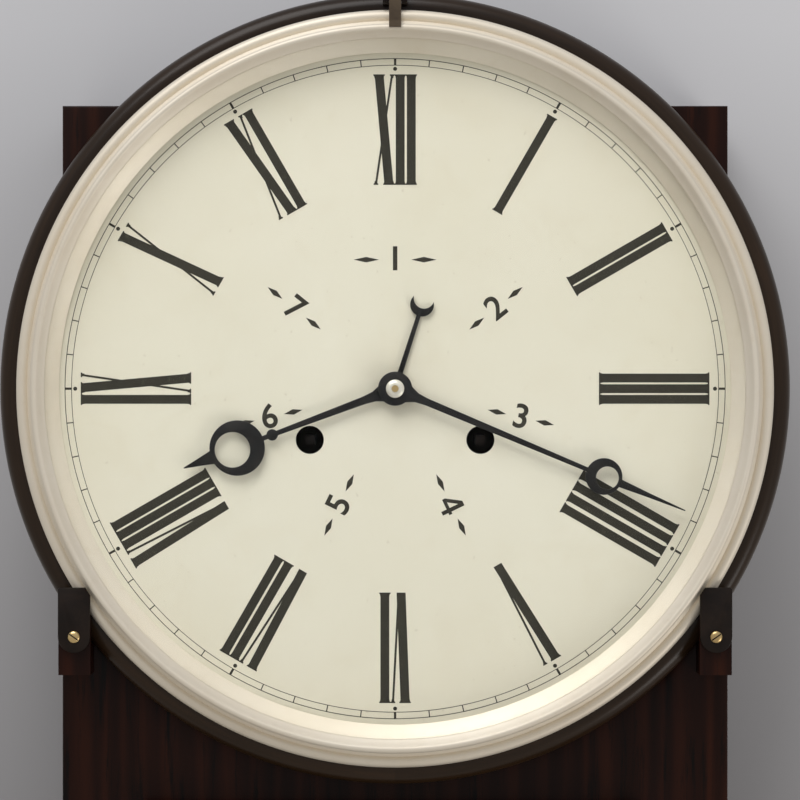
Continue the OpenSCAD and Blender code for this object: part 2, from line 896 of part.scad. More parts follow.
drum_r = 22;
drum_wall = 1.5;
drum_floor = 1.5;
module barrel(at, phase) {
    z1 = barrel_z + barrel_h;
    translate([at[0], at[1], 0]) difference() {
        union() {
            gear(barrel_teeth, barrel_m, phase, barrel_z, barrel_tooth_t);
            disc(drum_r, barrel_z, z1);
        }
        disc(winding_arbor_r + run_fit, barrel_z - 1, z1 + 1);
        disc(drum_r - drum_wall, barrel_z + barrel_tooth_t, z1 - drum_floor);
    }
}

module mainspring(at) {
    z0 = barrel_z + barrel_tooth_t + 1;
    translate([at[0], at[1], z0]) linear_extrude(barrel_h - barrel_tooth_t - drum_floor - 2)
        polygon(spiral_points(core_r + 1.2, drum_r - drum_wall - 0.6, 6, 0.6));
}

barrel_dir = direction(time_at, second_at);
time_second_phase = mesh_phase(barrel_teeth, 0, barrel_dir, second_leaves);
strike_barrel_dir = direction(strike_at, strike_second_at);
strike_second_phase = mesh_phase(barrel_teeth, 0, strike_barrel_dir, second_leaves);

module time_barrel() {
    color(brass) stand() barrel(time_at, 0);
}

module strike_barrel() {
    color(brass) stand() barrel(strike_at, 0);
}

module time_mainspring() {
    color(steel) stand() mainspring(time_at);
}

module strike_mainspring() {
    color(steel) stand() mainspring(strike_at);
}

// Going train

centre_phase = mesh_phase(second_teeth, 0, direction(second_at, centre), centre_leaves);
third_phase = mesh_phase(centre_teeth, 0, direction(centre, third_at), fine_leaves);
escape_pinion_phase = mesh_phase(third_teeth, 0, direction(third_at, escape_at), fine_leaves);

module second_wheel() {
    color(brass) stand() {
        thin_arbor(second_at);
        translate([second_at[0], second_at[1], 0]) {
            gear(second_leaves, barrel_m, time_second_phase, barrel_z - 1, barrel_tooth_t + 2.4);
            crossed_gear(second_teeth, second_m, 0, second_z, wheel_t, 4);
        }
    }
}

module centre_arbor() {
    color(brass) stand() {
        disc(centre_r, plate_back, nut_z + nut_t + 0.3);
        gear(centre_leaves, second_m, centre_phase, second_z - 0.6, wheel_t + 1.4);
        crossed_gear(centre_teeth, centre_m, 0, centre_z, wheel_t, 4);
    }
}

module third_wheel() {
    color(brass) stand() {
        thin_arbor(third_at);
        translate([third_at[0], third_at[1], 0]) {
            gear(fine_leaves, centre_m, third_phase, centre_z - 1, wheel_t + 2);
            crossed_gear(third_teeth, third_m, 0, third_z, wheel_t, 3);
        }
    }
}

pallet_offset = 3;
escape_phase = 90 - pallet_half - pallet_offset;
tooth_l = 4;
module escape_wheel() {
    root = escape_r - tooth_l;
    pitch = 360 / escape_teeth;
    color(brass) stand() {
        thin_arbor(escape_at);
        translate([escape_at[0], escape_at[1], 0]) {
            gear(fine_leaves, third_m, escape_pinion_phase, third_z - 1, wheel_t + 2);
            translate([0, 0, escape_z]) linear_extrude(wheel_t) polygon([
                for (i = [0:escape_teeth - 1])
                for (p = [[root, -3.2], [escape_r, -0.6], [escape_r, 0.3], [root, 1.2]])
                p[0] * unit(escape_phase + i * pitch + p[1])
            ]);
        }
    }
}

nib_w = 0.8;
nib_l = 4;
nib_gap = 0.35;
arm_w = 3;
anchor_back = plate_back - 3.4;
module anchor() {
    color(steel) stand() {
        disc(anchor_r, anchor_back, plate_front, anchor_at);
        disc(3, escape_z - 0.2, escape_z + wheel_t + 0.2, anchor_at);
        both_sides() {
            translate([escape_at[0], escape_at[1], 0]) rotate(90 - pallet_half)
                slab(escape_r + nib_gap, escape_r + nib_gap + nib_l, -nib_w / 2, nib_w / 2,
                    escape_z, escape_z + wheel_t);
            arm_end = escape_at + (escape_r + nib_l) * unit(90 - pallet_half);
            translate([anchor_at[0], anchor_at[1], escape_z])
                rotate(direction(anchor_at, arm_end))
                    translate([0, -arm_w / 2, 0]) cube([norm(arm_end - anchor_at) + 1, arm_w, wheel_t]);
        }
    }
}

crutch_l = 56;
fork_h = 4;
fork_w = 9;
rod_gap = 11;
rod_z = back_t + rod_gap;
module crutch() {
    y0 = anchor_at[1] - crutch_l;
    color(brass) stand() difference() {
        union() {
            disc(3.2, anchor_back, plate_back - 0.4, anchor_at);
            slab(-0.9, 0.9, y0, anchor_at[1] - 2, anchor_back + 0.6, plate_back - 1.2);
            slab(-fork_w / 2, fork_w / 2, y0, y0 + fork_h, rod_z - 2.5, plate_back - 1.2);
        }
        disc(anchor_r, anchor_back - 1, plate_back, anchor_at);
        slab(-rod_r - 0.35, rod_r + 0.35, y0 - 1, y0 + fork_h + 1, rod_z - 4, rod_z + 3);
    }
}

// Suspension and pendulum

pin_r = 1;
cock_ear_t = 2.2;
cock_in = rod_z - 4.8;
cock_out = rod_z + 4.8;
module suspension_cock() {
    y = anchor_at[1];
    color(brass) stand() {
        for (z = [cock_in - cock_ear_t, cock_out])
            slab(-4, 4, y - 3, y + 6, z, z + cock_ear_t);
        disc(pin_r, cock_in - cock_ear_t, cock_out + cock_ear_t, anchor_at);
        slab(-4, 4, y + 5, y + 9, cock_in - cock_ear_t, plate_back);
        slab(-9, 9, y + 5, plate_rise - 2, plate_back - 2.5, plate_back);
    }
}

spring_l = 20;
spring_t = 0.3;
spring_w = 6;
module suspension_spring() {
    y = anchor_at[1];
    color(steel) stand() difference() {
        union() {
            slab(-1.8, 1.8, y - 3, y + 3, rod_z - 4.5, rod_z + 4.5);
            slab(-spring_t / 2, spring_t / 2, y - spring_l + 5, y - 3,
                rod_z - spring_w / 2, rod_z + spring_w / 2);
            slab(-1.8, 1.8, y - spring_l, y - spring_l + 5, rod_z - 4, rod_z + 4);
        }
        disc(pin_r + run_fit, rod_z - 6, rod_z + 6, anchor_at);
    }
}

// An upright rod at the pendulum's level
module hanging_rod(r, y0, y1) {
    translate([0, y0, rod_z]) rotate([-90, 0, 0]) cylinder(r = r, h = y1 - y0);
}

pendulum_l = case_drop - pendulum_short;
bob_y = anchor_at[1] - pendulum_l;
nut_r = 5;
rating_h = 5;
module pendulum_rod() {
    color(steel) stand() hanging_rod(rod_r, bob_y - bob_r - rating_h - 6, anchor_at[1] - spring_l);
}

module pendulum_bob() {
    lens_r = (bob_r * bob_r + bob_t * bob_t / 4) / bob_t;
    color(brass) stand() difference() {
        translate([0, bob_y, rod_z]) rotate_extrude() intersection() {
            translate([0, bob_t / 2 - lens_r]) circle(lens_r, $fn = 128);
            translate([0, lens_r - bob_t / 2]) circle(lens_r, $fn = 128);
            translate([0, -bob_t]) square([bob_r - 0.4, 2 * bob_t]);
        }
        hanging_rod(rod_r + fit / 2, bob_y - bob_r - 1, bob_y + bob_r + 1);
    }
}

module rating_nut() {
    color(brass) stand() difference() {
        hanging_rod(nut_r, bob_y - bob_r - rating_h, bob_y - bob_r);
        hanging_rod(rod_r + fit / 4, bob_y - bob_r - rating_h - 1, bob_y - bob_r + 1);
    }
}

// Motion work in front of the front plate

minute_z = plate_front + 3.9;
hour_z = plate_front + 9.4;
hour_pinion_z = plate_front + 14.4;
idler_z = plate_front + 15.9;
day_z = plate_front + 21.4;
cannon_z = plate_front + 2.4;
minute_phase = mesh_phase(cannon_leaves, 0, direction(centre, minute_stud_at), minute_teeth);
hour_phase = mesh_phase(minute_leaves, 0, direction(minute_stud_at, centre), hour_teeth);
idler_phase = mesh_phase(hour_leaves, 0, direction(centre, idler_at), idler_teeth);
day_phase = mesh_phase(idler_leaves, 0, direction(idler_at, centre), day_teeth);

module cannon_pinion() {
    top = minute_hand_z + hand_t;
    color(brass) stand() difference() {
        union() {
            gear(cannon_leaves, motion_m, 0, cannon_z, 5);
            disc(cannon_r, cannon_z, top);
        }
        disc(centre_r + run_fit, cannon_z - 1, top + 1);
    }
}

module minute_wheel() {
    color(brass) stand() translate([minute_stud_at[0], minute_stud_at[1], 0]) difference() {
        union() {
            gear(minute_teeth, motion_m, minute_phase, minute_z, wheel_t);
            gear(minute_leaves, minute_m, 0, minute_z + wheel_t, hour_z - minute_z + 1);
        }
        disc(stud_r + run_fit, minute_z - 1, hour_z + wheel_t + 4);
    }
}

module hour_wheel() {
    top = hour_hand_z + hand_t;
    color(brass) stand() difference() {
        union() {
            gear(hour_teeth, minute_m, hour_phase, hour_z, wheel_t);
            gear(hour_leaves, day_m, 0, hour_pinion_z, wheel_t + 3);
            disc(hour_pipe_r, hour_z - 1, top);
        }
        disc(cannon_r + run_fit, hour_z - 2, top + 1);
    }
}

module day_idler() {
    color(brass) stand() translate([idler_at[0], idler_at[1], 0]) difference() {
        union() {
            gear(idler_teeth, day_m, idler_phase, idler_z, wheel_t);
            gear(idler_leaves, day_wheel_m, 0, idler_z + wheel_t, day_z - idler_z + 1);
        }
        disc(stud_r + run_fit, idler_z - 1, day_z + wheel_t + 4);
    }
}

module day_wheel() {
    top = day_hand_z + hand_t;
    color(brass) stand() difference() {
        union() {
            gear(day_teeth, day_wheel_m, day_phase, day_z, wheel_t);
            disc(day_pipe_r, day_z - 1, top);
        }
        disc(hour_pipe_r + run_fit, day_z - 2, top + 1);
    }
}

// Hands, drawn pointing up and turned clockwise

module hand_blade(r0, r1, half0, half1) {
    polygon([[-half0, r0], [half0, r0], [half1, r1], [-half1, r1]]);
}

// A ring whose hole is shifted outward
module hand_ring(at, r, share, shift) {
    difference() {
        translate([0, at]) circle(r);
        translate([0, at + r * shift]) circle(r * share);
    }
}

hub_r = 8;
module minute_hand() {
    reach = track_d / 2 - minute_tip_gap;
    color(blued) stand() translate([0, 0, minute_hand_z]) rotate(-minute_angle)
        linear_extrude(hand_t) difference() {
            union() {
                circle(hub_r);
                hand_blade(0, minute_ring_at - minute_ring_r + 1, 1.5, 1.1);
                hand_ring(minute_ring_at, minute_ring_r, 0.62, 0.2);
                hand_blade(minute_ring_at + minute_ring_r - 0.9, reach, 1.7, 0.35);
            }
            circle(cannon_r + run_fit);
        }
}

module hour_hand() {
    color(blued) stand() translate([0, 0, hour_hand_z]) rotate(-hour_angle)
        linear_extrude(hand_t) difference() {
            union() {
                circle(hub_r - 0.5);
                hand_blade(0, hour_ring_at - hour_ring_r + 1, 1.6, 1.2);
                translate([0, hour_ring_at - hour_ring_r - 4.5]) circle(2.6);
                hand_ring(hour_ring_at, hour_ring_r, 0.68, 0.16);
                hand_blade(hour_ring_at + hour_ring_r - 1.3, hour_reach, 3.2, 0.35);
            }
            circle(hour_pipe_r + run_fit);
        }
}

crescent_r = 5.6;
module day_hand() {
    color(blued) stand() translate([0, 0, day_hand_z]) rotate(-day_angle)
        linear_extrude(hand_t) difference() {
            union() {
                circle(hub_r - 1);
                hand_blade(0, day_reach - 2 * crescent_r + 1, 1.3, 1);
                difference() {
                    translate([0, day_reach - crescent_r]) circle(crescent_r);
                    translate([0, day_reach - crescent_r * 0.45]) circle(crescent_r * 0.86);
                }
            }
            circle(day_pipe_r + run_fit);
        }
}

nut_t = 2;
nut_d = 8.6;
module hand_nut() {
    color(brass) stand() difference() {
        disc(nut_d / 2, nut_z, nut_z + nut_t);
        disc(centre_r + run_fit, nut_z - 1, nut_z + nut_t + 1);
    }
}

// Strike train

strike_pin_phase = mesh_phase(second_teeth, 0, direction(strike_second_at, pin_at), fine_leaves);
fly_phase = mesh_phase(pin_teeth, 0, direction(pin_at, fly_at), fine_leaves);
pin_circle = 12.5;
lift_pin_r = 0.7;
lift_pins = 8;

module strike_second_wheel() {
    color(brass) stand() {
        thin_arbor(strike_second_at);
        translate([strike_second_at[0], strike_second_at[1], 0]) {
            gear(second_leaves, barrel_m, strike_second_phase, barrel_z - 1, barrel_tooth_t + 2.4);
            crossed_gear(second_teeth, second_m, 0, strike_second_z, wheel_t, 4);
        }
    }
}

module strike_pin_wheel() {
    color(brass) stand() {
        thin_arbor(pin_at);
        translate([pin_at[0], pin_at[1], 0]) {
            gear(fine_leaves, second_m, strike_pin_phase, strike_second_z - 0.5, wheel_t + 1);
            gear(pin_teeth, pin_m, 0, pin_z, wheel_t);
            for (i = [0:lift_pins - 1])
                disc(lift_pin_r, pin_z + wheel_t, pin_z + wheel_t + 3,
                    pin_circle * unit(i * 360 / lift_pins));
        }
    }
}

vane_gap = 1;
vane_l = norm(fly_at - escape_at) - escape_r - vane_gap;
vane_h = 10;
module strike_fly() {
    color(brass) stand() {
        thin_arbor(fly_at);
        translate([fly_at[0], fly_at[1], 0]) {
            gear(fine_leaves, pin_m, fly_phase, pin_z - 1, wheel_t + 2);
            rotate(25) slab(-vane_l, vane_l, -0.4, 0.4, fly_z, fly_z + vane_h);
            disc(2.2, fly_z - 0.5, fly_z + vane_h + 0.5);
        }
    }
}

hammer_r = 5;
hammer_gap = 1.5;
hammer_side = 150;
gong_z = back_t + 3;
hammer_gap_back = 14.5;
hammer_bar_z = back_t + hammer_gap_back;
bar_w = 3;
bar_t = 2;
// A flat bar in the plane of the plates, from one point to another
module flat_bar(from, to, w, z0, t) {
    translate([from[0], from[1], z0]) rotate(direction(from, to))
        translate([0, -w / 2, 0]) cube([norm(to - from), w, t]);
}

module hammer() {
    head = [0, -gong_drop] + (gong_r + gong_wire / 2 + hammer_r + hammer_gap) * unit(hammer_side);
    tail_l = norm(pin_at - hammer_at) - pin_circle - lift_pin_r - 0.4;
    tail = hammer_at + tail_l * (pin_at - hammer_at) / norm(pin_at - hammer_at);
    color(steel) stand() {
        disc(arbor_r, hammer_bar_z, plate_front, hammer_at);
        disc(3, hammer_bar_z, hammer_bar_z + bar_t + 1, hammer_at);
        flat_bar(hammer_at, head, bar_w, hammer_bar_z, bar_t);
        disc(hammer_r, back_t + 1.5, hammer_bar_z + bar_t + 1, head);
        disc(2.6, pin_z + wheel_t + 0.5, pin_z + wheel_t + 2.5, hammer_at);
        flat_bar(hammer_at, tail, bar_w, pin_z + wheel_t + 0.5, bar_t);
    }
}

gong_block_r = 9;
module gong() {
    color(steel) stand() translate([0, -gong_drop, 0]) {
        disc(gong_block_r, back_t, back_t + 7);
        disc(gong_stud_r, back_t - gong_stud_l, back_t);
        translate([0, 0, gong_z]) linear_extrude(gong_wire)
            polygon(spiral_points(gong_block_r - 1, gong_r, gong_turns, gong_wire));
    }
}

back_board();
case_boards();
front_board();
dial_surround();
base_moulding();
hanger_plate();
wood_screws();
catch_blocks();
bezel_hinge_base();
dial_plate();
movement_blocks();
back_plate();
front_plate();
plate_pillars();
pillar_nuts();
suspension_cock();
gong();
door_hinge_leaves();
bezel_ring();
bezel_glass();
sight_ring();
bezel_hinge_strap();
bezel_catch_left();
bezel_catch_right();
door_frame();
door_glass();
door_beads();
door_hinge_straps();
door_knob();
time_barrel();
time_mainspring();
time_winding_arbor();
time_click();
second_wheel();
centre_arbor();
cannon_pinion();
minute_wheel();
hour_wheel();
day_idler();
day_wheel();
minute_hand();
hour_hand();
day_hand();
hand_nut();
third_wheel();
escape_wheel();
anchor();
crutch();
suspension_spring();
pendulum_rod();
pendulum_bob();
rating_nut();
strike_barrel();
strike_mainspring();
strike_winding_arbor();
strike_click();
strike_second_wheel();
strike_pin_wheel();
strike_fly();
hammer();
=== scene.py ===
from collections import namedtuple
import json
import math

import bmesh
import bpy
from mathutils import Matrix, Vector

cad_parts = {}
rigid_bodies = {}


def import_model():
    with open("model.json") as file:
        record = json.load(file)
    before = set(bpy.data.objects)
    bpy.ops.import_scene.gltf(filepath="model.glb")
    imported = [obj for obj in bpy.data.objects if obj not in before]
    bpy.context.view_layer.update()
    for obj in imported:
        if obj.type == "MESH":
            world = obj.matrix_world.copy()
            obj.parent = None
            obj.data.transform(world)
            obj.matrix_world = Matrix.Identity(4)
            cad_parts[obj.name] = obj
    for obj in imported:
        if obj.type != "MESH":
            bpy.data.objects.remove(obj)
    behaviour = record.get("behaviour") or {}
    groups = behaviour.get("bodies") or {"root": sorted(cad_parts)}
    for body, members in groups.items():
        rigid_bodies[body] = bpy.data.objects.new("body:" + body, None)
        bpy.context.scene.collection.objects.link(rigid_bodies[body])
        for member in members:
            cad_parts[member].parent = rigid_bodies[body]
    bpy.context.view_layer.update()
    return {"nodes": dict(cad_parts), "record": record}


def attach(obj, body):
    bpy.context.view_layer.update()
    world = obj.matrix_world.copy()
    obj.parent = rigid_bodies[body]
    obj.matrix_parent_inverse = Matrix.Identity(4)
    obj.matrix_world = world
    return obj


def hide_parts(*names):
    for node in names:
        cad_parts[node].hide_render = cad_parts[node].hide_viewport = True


for old in list(bpy.data.objects):
    bpy.data.objects.remove(old)
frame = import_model()
nodes = frame["nodes"]

# Sizes of the clock are in mm about the dial's centre, with z forward from the wall

MM = 0.001
Box = namedtuple("Box", "x0 x1 y0 y1 z0 z1")


def span(name, axis, digits=1):
    """The least and the greatest place of a solid on an axis of the frame, in rounded mm."""
    ob = nodes[name]
    places = [(ob.matrix_world @ v.co)[axis] / MM for v in ob.data.vertices]
    return round(min(places), digits), round(max(places), digits)


RISE = -sum(span("dial_plate", 2)) / 2  # height of the hanging hole over the dial's centre


def box_of(name, digits=1):
    """The box of a solid."""
    x0, x1 = span(name, 0, digits)
    front, back = span(name, 1, digits)
    low, high = span(name, 2, digits)
    return Box(x0, x1, low + RISE, high + RISE, -back, -front)


def point(x, y, z):
    """The place of a point in the frame, in metres."""
    return Vector((x * MM, -z * MM, (y - RISE) * MM))


# Sizes that several sub-parts share

CASE = box_of("case_boards")
CASE_Z = box_of("front_board").z1
DIAL_Z = box_of("dial_plate").z1
PRINT_Z = DIAL_Z + 0.04
HEAD_HOLE_R = 148.0  # round hole behind the dial, in the front board and the surround
DOOR = box_of("door_frame")
CATCH = box_of("bezel_catch_right")
CATCH_HALF = (CATCH.x1 - CATCH.x0) / 2
CATCH_X, CATCH_Y = CATCH.x1 - CATCH_HALF, CATCH.y0 + CATCH_HALF  # its pivot

# The time that the clock shows
SHOW_HOUR = 8
SHOW_MINUTE = 18.8


def unit(angle):
    return math.cos(math.radians(angle)), math.sin(math.radians(angle))


def rise_of(opposite, radius):
    """The angle whose opposite side is given, in a right triangle with radius as its long side."""
    return math.degrees(math.asin(opposite / radius))


# Outlines


def arc(cx, cy, r, a0, a1, steps):
    points = []
    for k in range(steps + 1):
        c, s = unit(a0 + (a1 - a0) * k / steps)
        points.append((cx + r * c, cy + r * s))
    return points


def circle(cx, cy, r, count):
    return arc(cx, cy, r, 0, 360, count)[:-1]


def rect(x0, x1, y0, y1):
    return [(x0, y0), (x1, y0), (x1, y1), (x0, y1)]


def on_dial(angle, u, v):
    """A point at a clock angle: u runs clockwise along the track, and v outward from the centre."""
    s, c = math.sin(math.radians(angle)), math.cos(math.radians(angle))
    return (v * s + u * c, v * c - u * s)


def clock_arc(at, r, a0, a1, steps):
    """Points (u, v) round (0, at) whose angles run clockwise, with 0 pointing outward."""
    points = []
    for k in range(steps + 1):
        angle = math.radians(a0 + (a1 - a0) * k / steps)
        points.append((r * math.sin(angle), at + r * math.cos(angle)))
    return points


def clock_circle(at, r, count):
    return clock_arc(at, r, 0, 360, count)[:-1]


# Mesh helpers

CORNER = 1.2  # radians between two faces from which their edge counts as the rim of a flat piece


def show(name, mesh, mat, body, replaced=()):
    """Makes a piece of a mesh, which rides on a body, is of a material slot and may stand for nodes."""
    mesh.materials.clear()
    mesh.materials.append(mat)
    ob = bpy.data.objects.new(name, mesh)
    bpy.context.collection.objects.link(ob)
    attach(ob, body)
    if replaced:
        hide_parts(*replaced)


def link(name, bm, mat, body, smooth=None, replaced=()):
    """Makes a piece of what was built in bm. smooth is the angle from which an edge stays sharp."""
    mesh = bpy.data.meshes.new(name)
    bmesh.ops.recalc_face_normals(bm, faces=bm.faces)
    bm.to_mesh(mesh)
    bm.free()
    if smooth is not None:
        for p in mesh.polygons:
            p.use_smooth = True
        mesh.set_sharp_from_angle(angle=math.radians(smooth))
    show(name, mesh, mat, body, replaced)


def bridge(bm, rows, ring=True):
    """Faces between rows of vertices that follow each other. In a ring the last column joins the first."""
    for a, b in zip(rows, rows[1:]):
        for i in range(len(a) if ring else len(a) - 1):
            j = (i + 1) % len(a)
            bm.faces.new((a[i], a[j], b[j], b[i]))


def lathe(bm, profile, place, segments, closed=True):
    """Turns (r, z) points about an axis. place(u, v, z) gives the point."""
    rings = []
    for k in range(segments):
        c, s = unit(360.0 * k / segments)
        rings.append([bm.verts.new(place(r * c, r * s, z)) for r, z in profile])
    bridge(bm, rings + rings[:1], closed)
    bmesh.ops.remove_doubles(bm, verts=bm.verts, dist=1e-7)


def turned_at(x, y):
    """Places what is turned about a line forward from the wall at x and y."""
    return lambda u, v, z: point(x + u, y + v, z)


def bevelled_box(bm, x0, x1, y0, y1, z0, z1, bevel):
    part = bmesh.new()
    bmesh.ops.create_cube(part, size=1.0)
    for v in part.verts:
        v.co = point(
            (x0 + x1) / 2 + v.co.x * (x1 - x0),
            (y0 + y1) / 2 + v.co.y * (y1 - y0),
            (z0 + z1) / 2 + v.co.z * (z1 - z0),
        )
    bmesh.ops.bevel(part, geom=part.edges[:], offset=bevel * MM, segments=3, profile=0.5, affect="EDGES")
    mesh = bpy.data.meshes.new("tmp")
    part.to_mesh(mesh)
    part.free()
    bm.from_mesh(mesh)
    bpy.data.meshes.remove(mesh)


def flat_poly(bm, pts, z):
    bm.faces.new([bm.verts.new(point(x, y, z)) for x, y in pts])


def solid_poly(bm, loops, z0, z1, edge=0.0):
    """A flat piece with holes, its front rim rounded by edge."""
    edges = []
    for loop in loops:
        verts = [bm.verts.new(point(x, y, z1)) for x, y in loop]
        for i in range(len(verts)):
            edges.append(bm.edges.new((verts[i], verts[(i + 1) % len(verts)])))
    made = bmesh.ops.triangle_fill(bm, use_beauty=True, use_dissolve=True, edges=edges)
    faces = [g for g in made["geom"] if isinstance(g, bmesh.types.BMFace)]
    back = bmesh.ops.extrude_face_region(bm, geom=faces)
    for g in back["geom"]:
        if isinstance(g, bmesh.types.BMVert):
            g.co.y += (z1 - z0) * MM
    bmesh.ops.recalc_face_normals(bm, faces=bm.faces)
    if edge:
        rim = [
            e for e in bm.edges
            if len(e.link_faces) == 2 and e.calc_face_angle(0) > CORNER
            and all(abs(v.co.y + z1 * MM) < 1e-6 for v in e.verts)
        ]
        bmesh.ops.bevel(bm, geom=rim, offset=edge * MM, segments=2, profile=0.5, affect="EDGES",
                        clamp_overlap=True)


# Materials


class Nodes:
    """A material and short ways to make its nodes."""

    def __init__(self, name):
        self.mat = bpy.data.materials.new(name)
        self.mat.use_nodes = True
        self.tree = self.mat.node_tree
        self.bsdf = self.tree.nodes["Principled BSDF"]

    def new(self, kind, **settings):
        node = self.tree.nodes.new(kind)
        for key, value in settings.items():
            setattr(node, key, value)
        return node

    def join(self, output, socket):
        self.tree.links.new(output, socket)

    def coords(self, scale=(1, 1, 1), location=(0, 0, 0)):
        """Places on the object. The location is added to them after the scale."""
        places = self.new("ShaderNodeTexCoord")
        mapping = self.new("ShaderNodeMapping")
        mapping.inputs["Scale"].default_value = scale
        mapping.inputs["Location"].default_value = location
        self.join(places.outputs["Object"], mapping.inputs["Vector"])
        return mapping.outputs["Vector"]

    def split(self, vector):
        node = self.new("ShaderNodeSeparateXYZ")
        self.join(vector, node.inputs[0])
        return node.outputs

    def noise(self, vector, scale, detail, rough, distortion=0.0):
        node = self.new("ShaderNodeTexNoise")
        node.inputs["Scale"].default_value = scale
        node.inputs["Detail"].default_value = detail
        node.inputs["Roughness"].default_value = rough
        node.inputs["Distortion"].default_value = distortion
        self.join(vector, node.inputs["Vector"])
        return node.outputs["Fac"]

    def remap(self, value, low, high, start=0.0, end=1.0):
        """Maps start to low and end to high."""
        node = self.new("ShaderNodeMapRange")
        node.inputs["From Min"].default_value = start
        node.inputs["From Max"].default_value = end
        node.inputs["To Min"].default_value = low
        node.inputs["To Max"].default_value = high
        self.join(value, node.inputs["Value"])
        return node.outputs["Result"]

    def ramp(self, fac, stops):
        """Stops are a position with a colour or a grey level each."""
        node = self.new("ShaderNodeValToRGB")
        elements = node.color_ramp.elements
        while len(elements) < len(stops):
            elements.new(0.5)
        for element, (at, colour) in zip(elements, stops):
            if isinstance(colour, (int, float)):
                colour = (colour,) * 3
            element.position = at
            element.color = (*colour, 1)
        self.join(fac, node.inputs["Fac"])
        return node.outputs["Color"]

    def fill(self, socket, value):
        """Gives a socket a link, a colour or a number."""
        if isinstance(value, bpy.types.NodeSocket):
            self.join(value, socket)
        elif isinstance(value, (tuple, list)):
            socket.default_value = (*value, 1)
        else:
            socket.default_value = value

    def mix(self, fac, a, b):
        node = self.new("ShaderNodeMix", data_type="RGBA")
        self.fill(node.inputs["Factor"], fac)
        self.fill(node.inputs[6], a)
        self.fill(node.inputs[7], b)
        return node.outputs[2]

    def math(self, operation, a, b=None, clamp=False):
        node = self.new("ShaderNodeMath", operation=operation, use_clamp=clamp)
        self.fill(node.inputs[0], a)
        if b is not None:
            self.fill(node.inputs[1], b)
        return node.outputs[0]

    def blend(self, a, share_a, b, share_b):
        """The sum of two values, each times its share."""
        return self.math("ADD", self.math("MULTIPLY", a, share_a), self.math("MULTIPLY", b, share_b))

    def radius(self, x, z):
        return self.math("SQRT", self.math("ADD", self.math("MULTIPLY", x, x), self.math("MULTIPLY", z, z)))

    def bump(self, height, strength, distance):
        node = self.new("ShaderNodeBump")
        node.inputs["Strength"].default_value = strength
        node.inputs["Distance"].default_value = distance
        self.join(height, node.inputs["Height"])
        self.join(node.outputs["Normal"], self.bsdf.inputs["Normal"])

    def set(self, **values):
        """Sets the shader's sockets, with _ for the spaces in their names."""
        for key, value in values.items():
            self.fill(self.bsdf.inputs[key.replace("_", " ")], value)


UPRIGHT = (1.0, 1.0, 0.07)  # stretch of the grain along x, y and z
LEVEL = (0.07, 1.0, 1.0)


def wood(name, grain, dark=(0.0055, 0.0013, 0.0006), mid=(0.0165, 0.0036, 0.0015),
         light=(0.042, 0.0098, 0.0036)):
    """Dark stained and polished wood with its figure, pores and uneven stain."""
    n = Nodes(name)
    v = n.coords(scale=grain)
    broad = n.noise(v, 34.0, 5.0, 0.6, 0.9)
    fine = n.noise(v, 230.0, 6.0, 0.7, 0.3)
    wave = n.new("ShaderNodeTexWave", wave_type="BANDS", bands_direction="X", wave_profile="SIN")
    wave.inputs["Scale"].default_value = 26.0
    wave.inputs["Distortion"].default_value = 7.0
    wave.inputs["Detail"].default_value = 3.0
    wave.inputs["Detail Scale"].default_value = 1.4
    n.join(v, wave.inputs["Vector"])
    figure = n.math("ADD", n.blend(broad, 0.55, wave.outputs["Fac"], 0.22), n.math("MULTIPLY", fine, 0.28))
    colour = n.ramp(figure, [(0.26, dark), (0.5, mid), (0.78, light)])
    patch = n.noise(n.coords(), 9.0, 3.0, 0.5)
    colour = n.mix(n.math("MULTIPLY", patch, 0.5), colour, (0.010, 0.0028, 0.0014))
    pores = n.ramp(fine, [(0.34, 0.0), (0.46, 1.0)])
    colour = n.mix(pores, (0.003, 0.0013, 0.001), colour)
    n.set(Base_Color=colour, Roughness=n.remap(patch, 0.30, 0.46), Specular_IOR_Level=0.10)
    n.set(Coat_Weight=0.09, Coat_Roughness=0.18, Coat_IOR=1.5)
    n.bump(n.blend(fine, 0.6, broad, 0.4), 0.25, 0.0004)
    return n.mat


def ring_wood():
    """The surround's turned wood: its grain runs round the head."""
    n = Nodes("dark_wood_ring")
    x, y, z = n.split(n.coords(location=(0, 0, RISE * MM)))
    round_head = n.new("ShaderNodeCombineXYZ")
    n.join(n.math("MULTIPLY", n.math("ARCTAN2", x, z), 0.012), round_head.inputs[0])
    n.join(n.radius(x, z), round_head.inputs[1])
    n.join(y, round_head.inputs[2])
    broad = n.noise(round_head.outputs[0], 60.0, 5.0, 0.6, 0.8)
    fine = n.noise(round_head.outputs[0], 420.0, 6.0, 0.7, 0.3)
    dark, mid, light = (0.012, 0.0062, 0.0030), (0.027, 0.0145, 0.0068), (0.052, 0.027, 0.013)
    colour = n.ramp(n.blend(broad, 0.7, fine, 0.3), [(0.3, dark), (0.52, mid), (0.78, light)])
    n.set(Base_Color=colour, Roughness=n.math("ADD", n.math("MULTIPLY", broad, 0.16), 0.24))
    n.set(Coat_Weight=0.14, Coat_Roughness=0.24, Coat_IOR=1.5, Specular_IOR_Level=0.2)
    n.bump(n.blend(fine, 0.5, broad, 0.5), 0.2, 0.0004)
    return n.mat


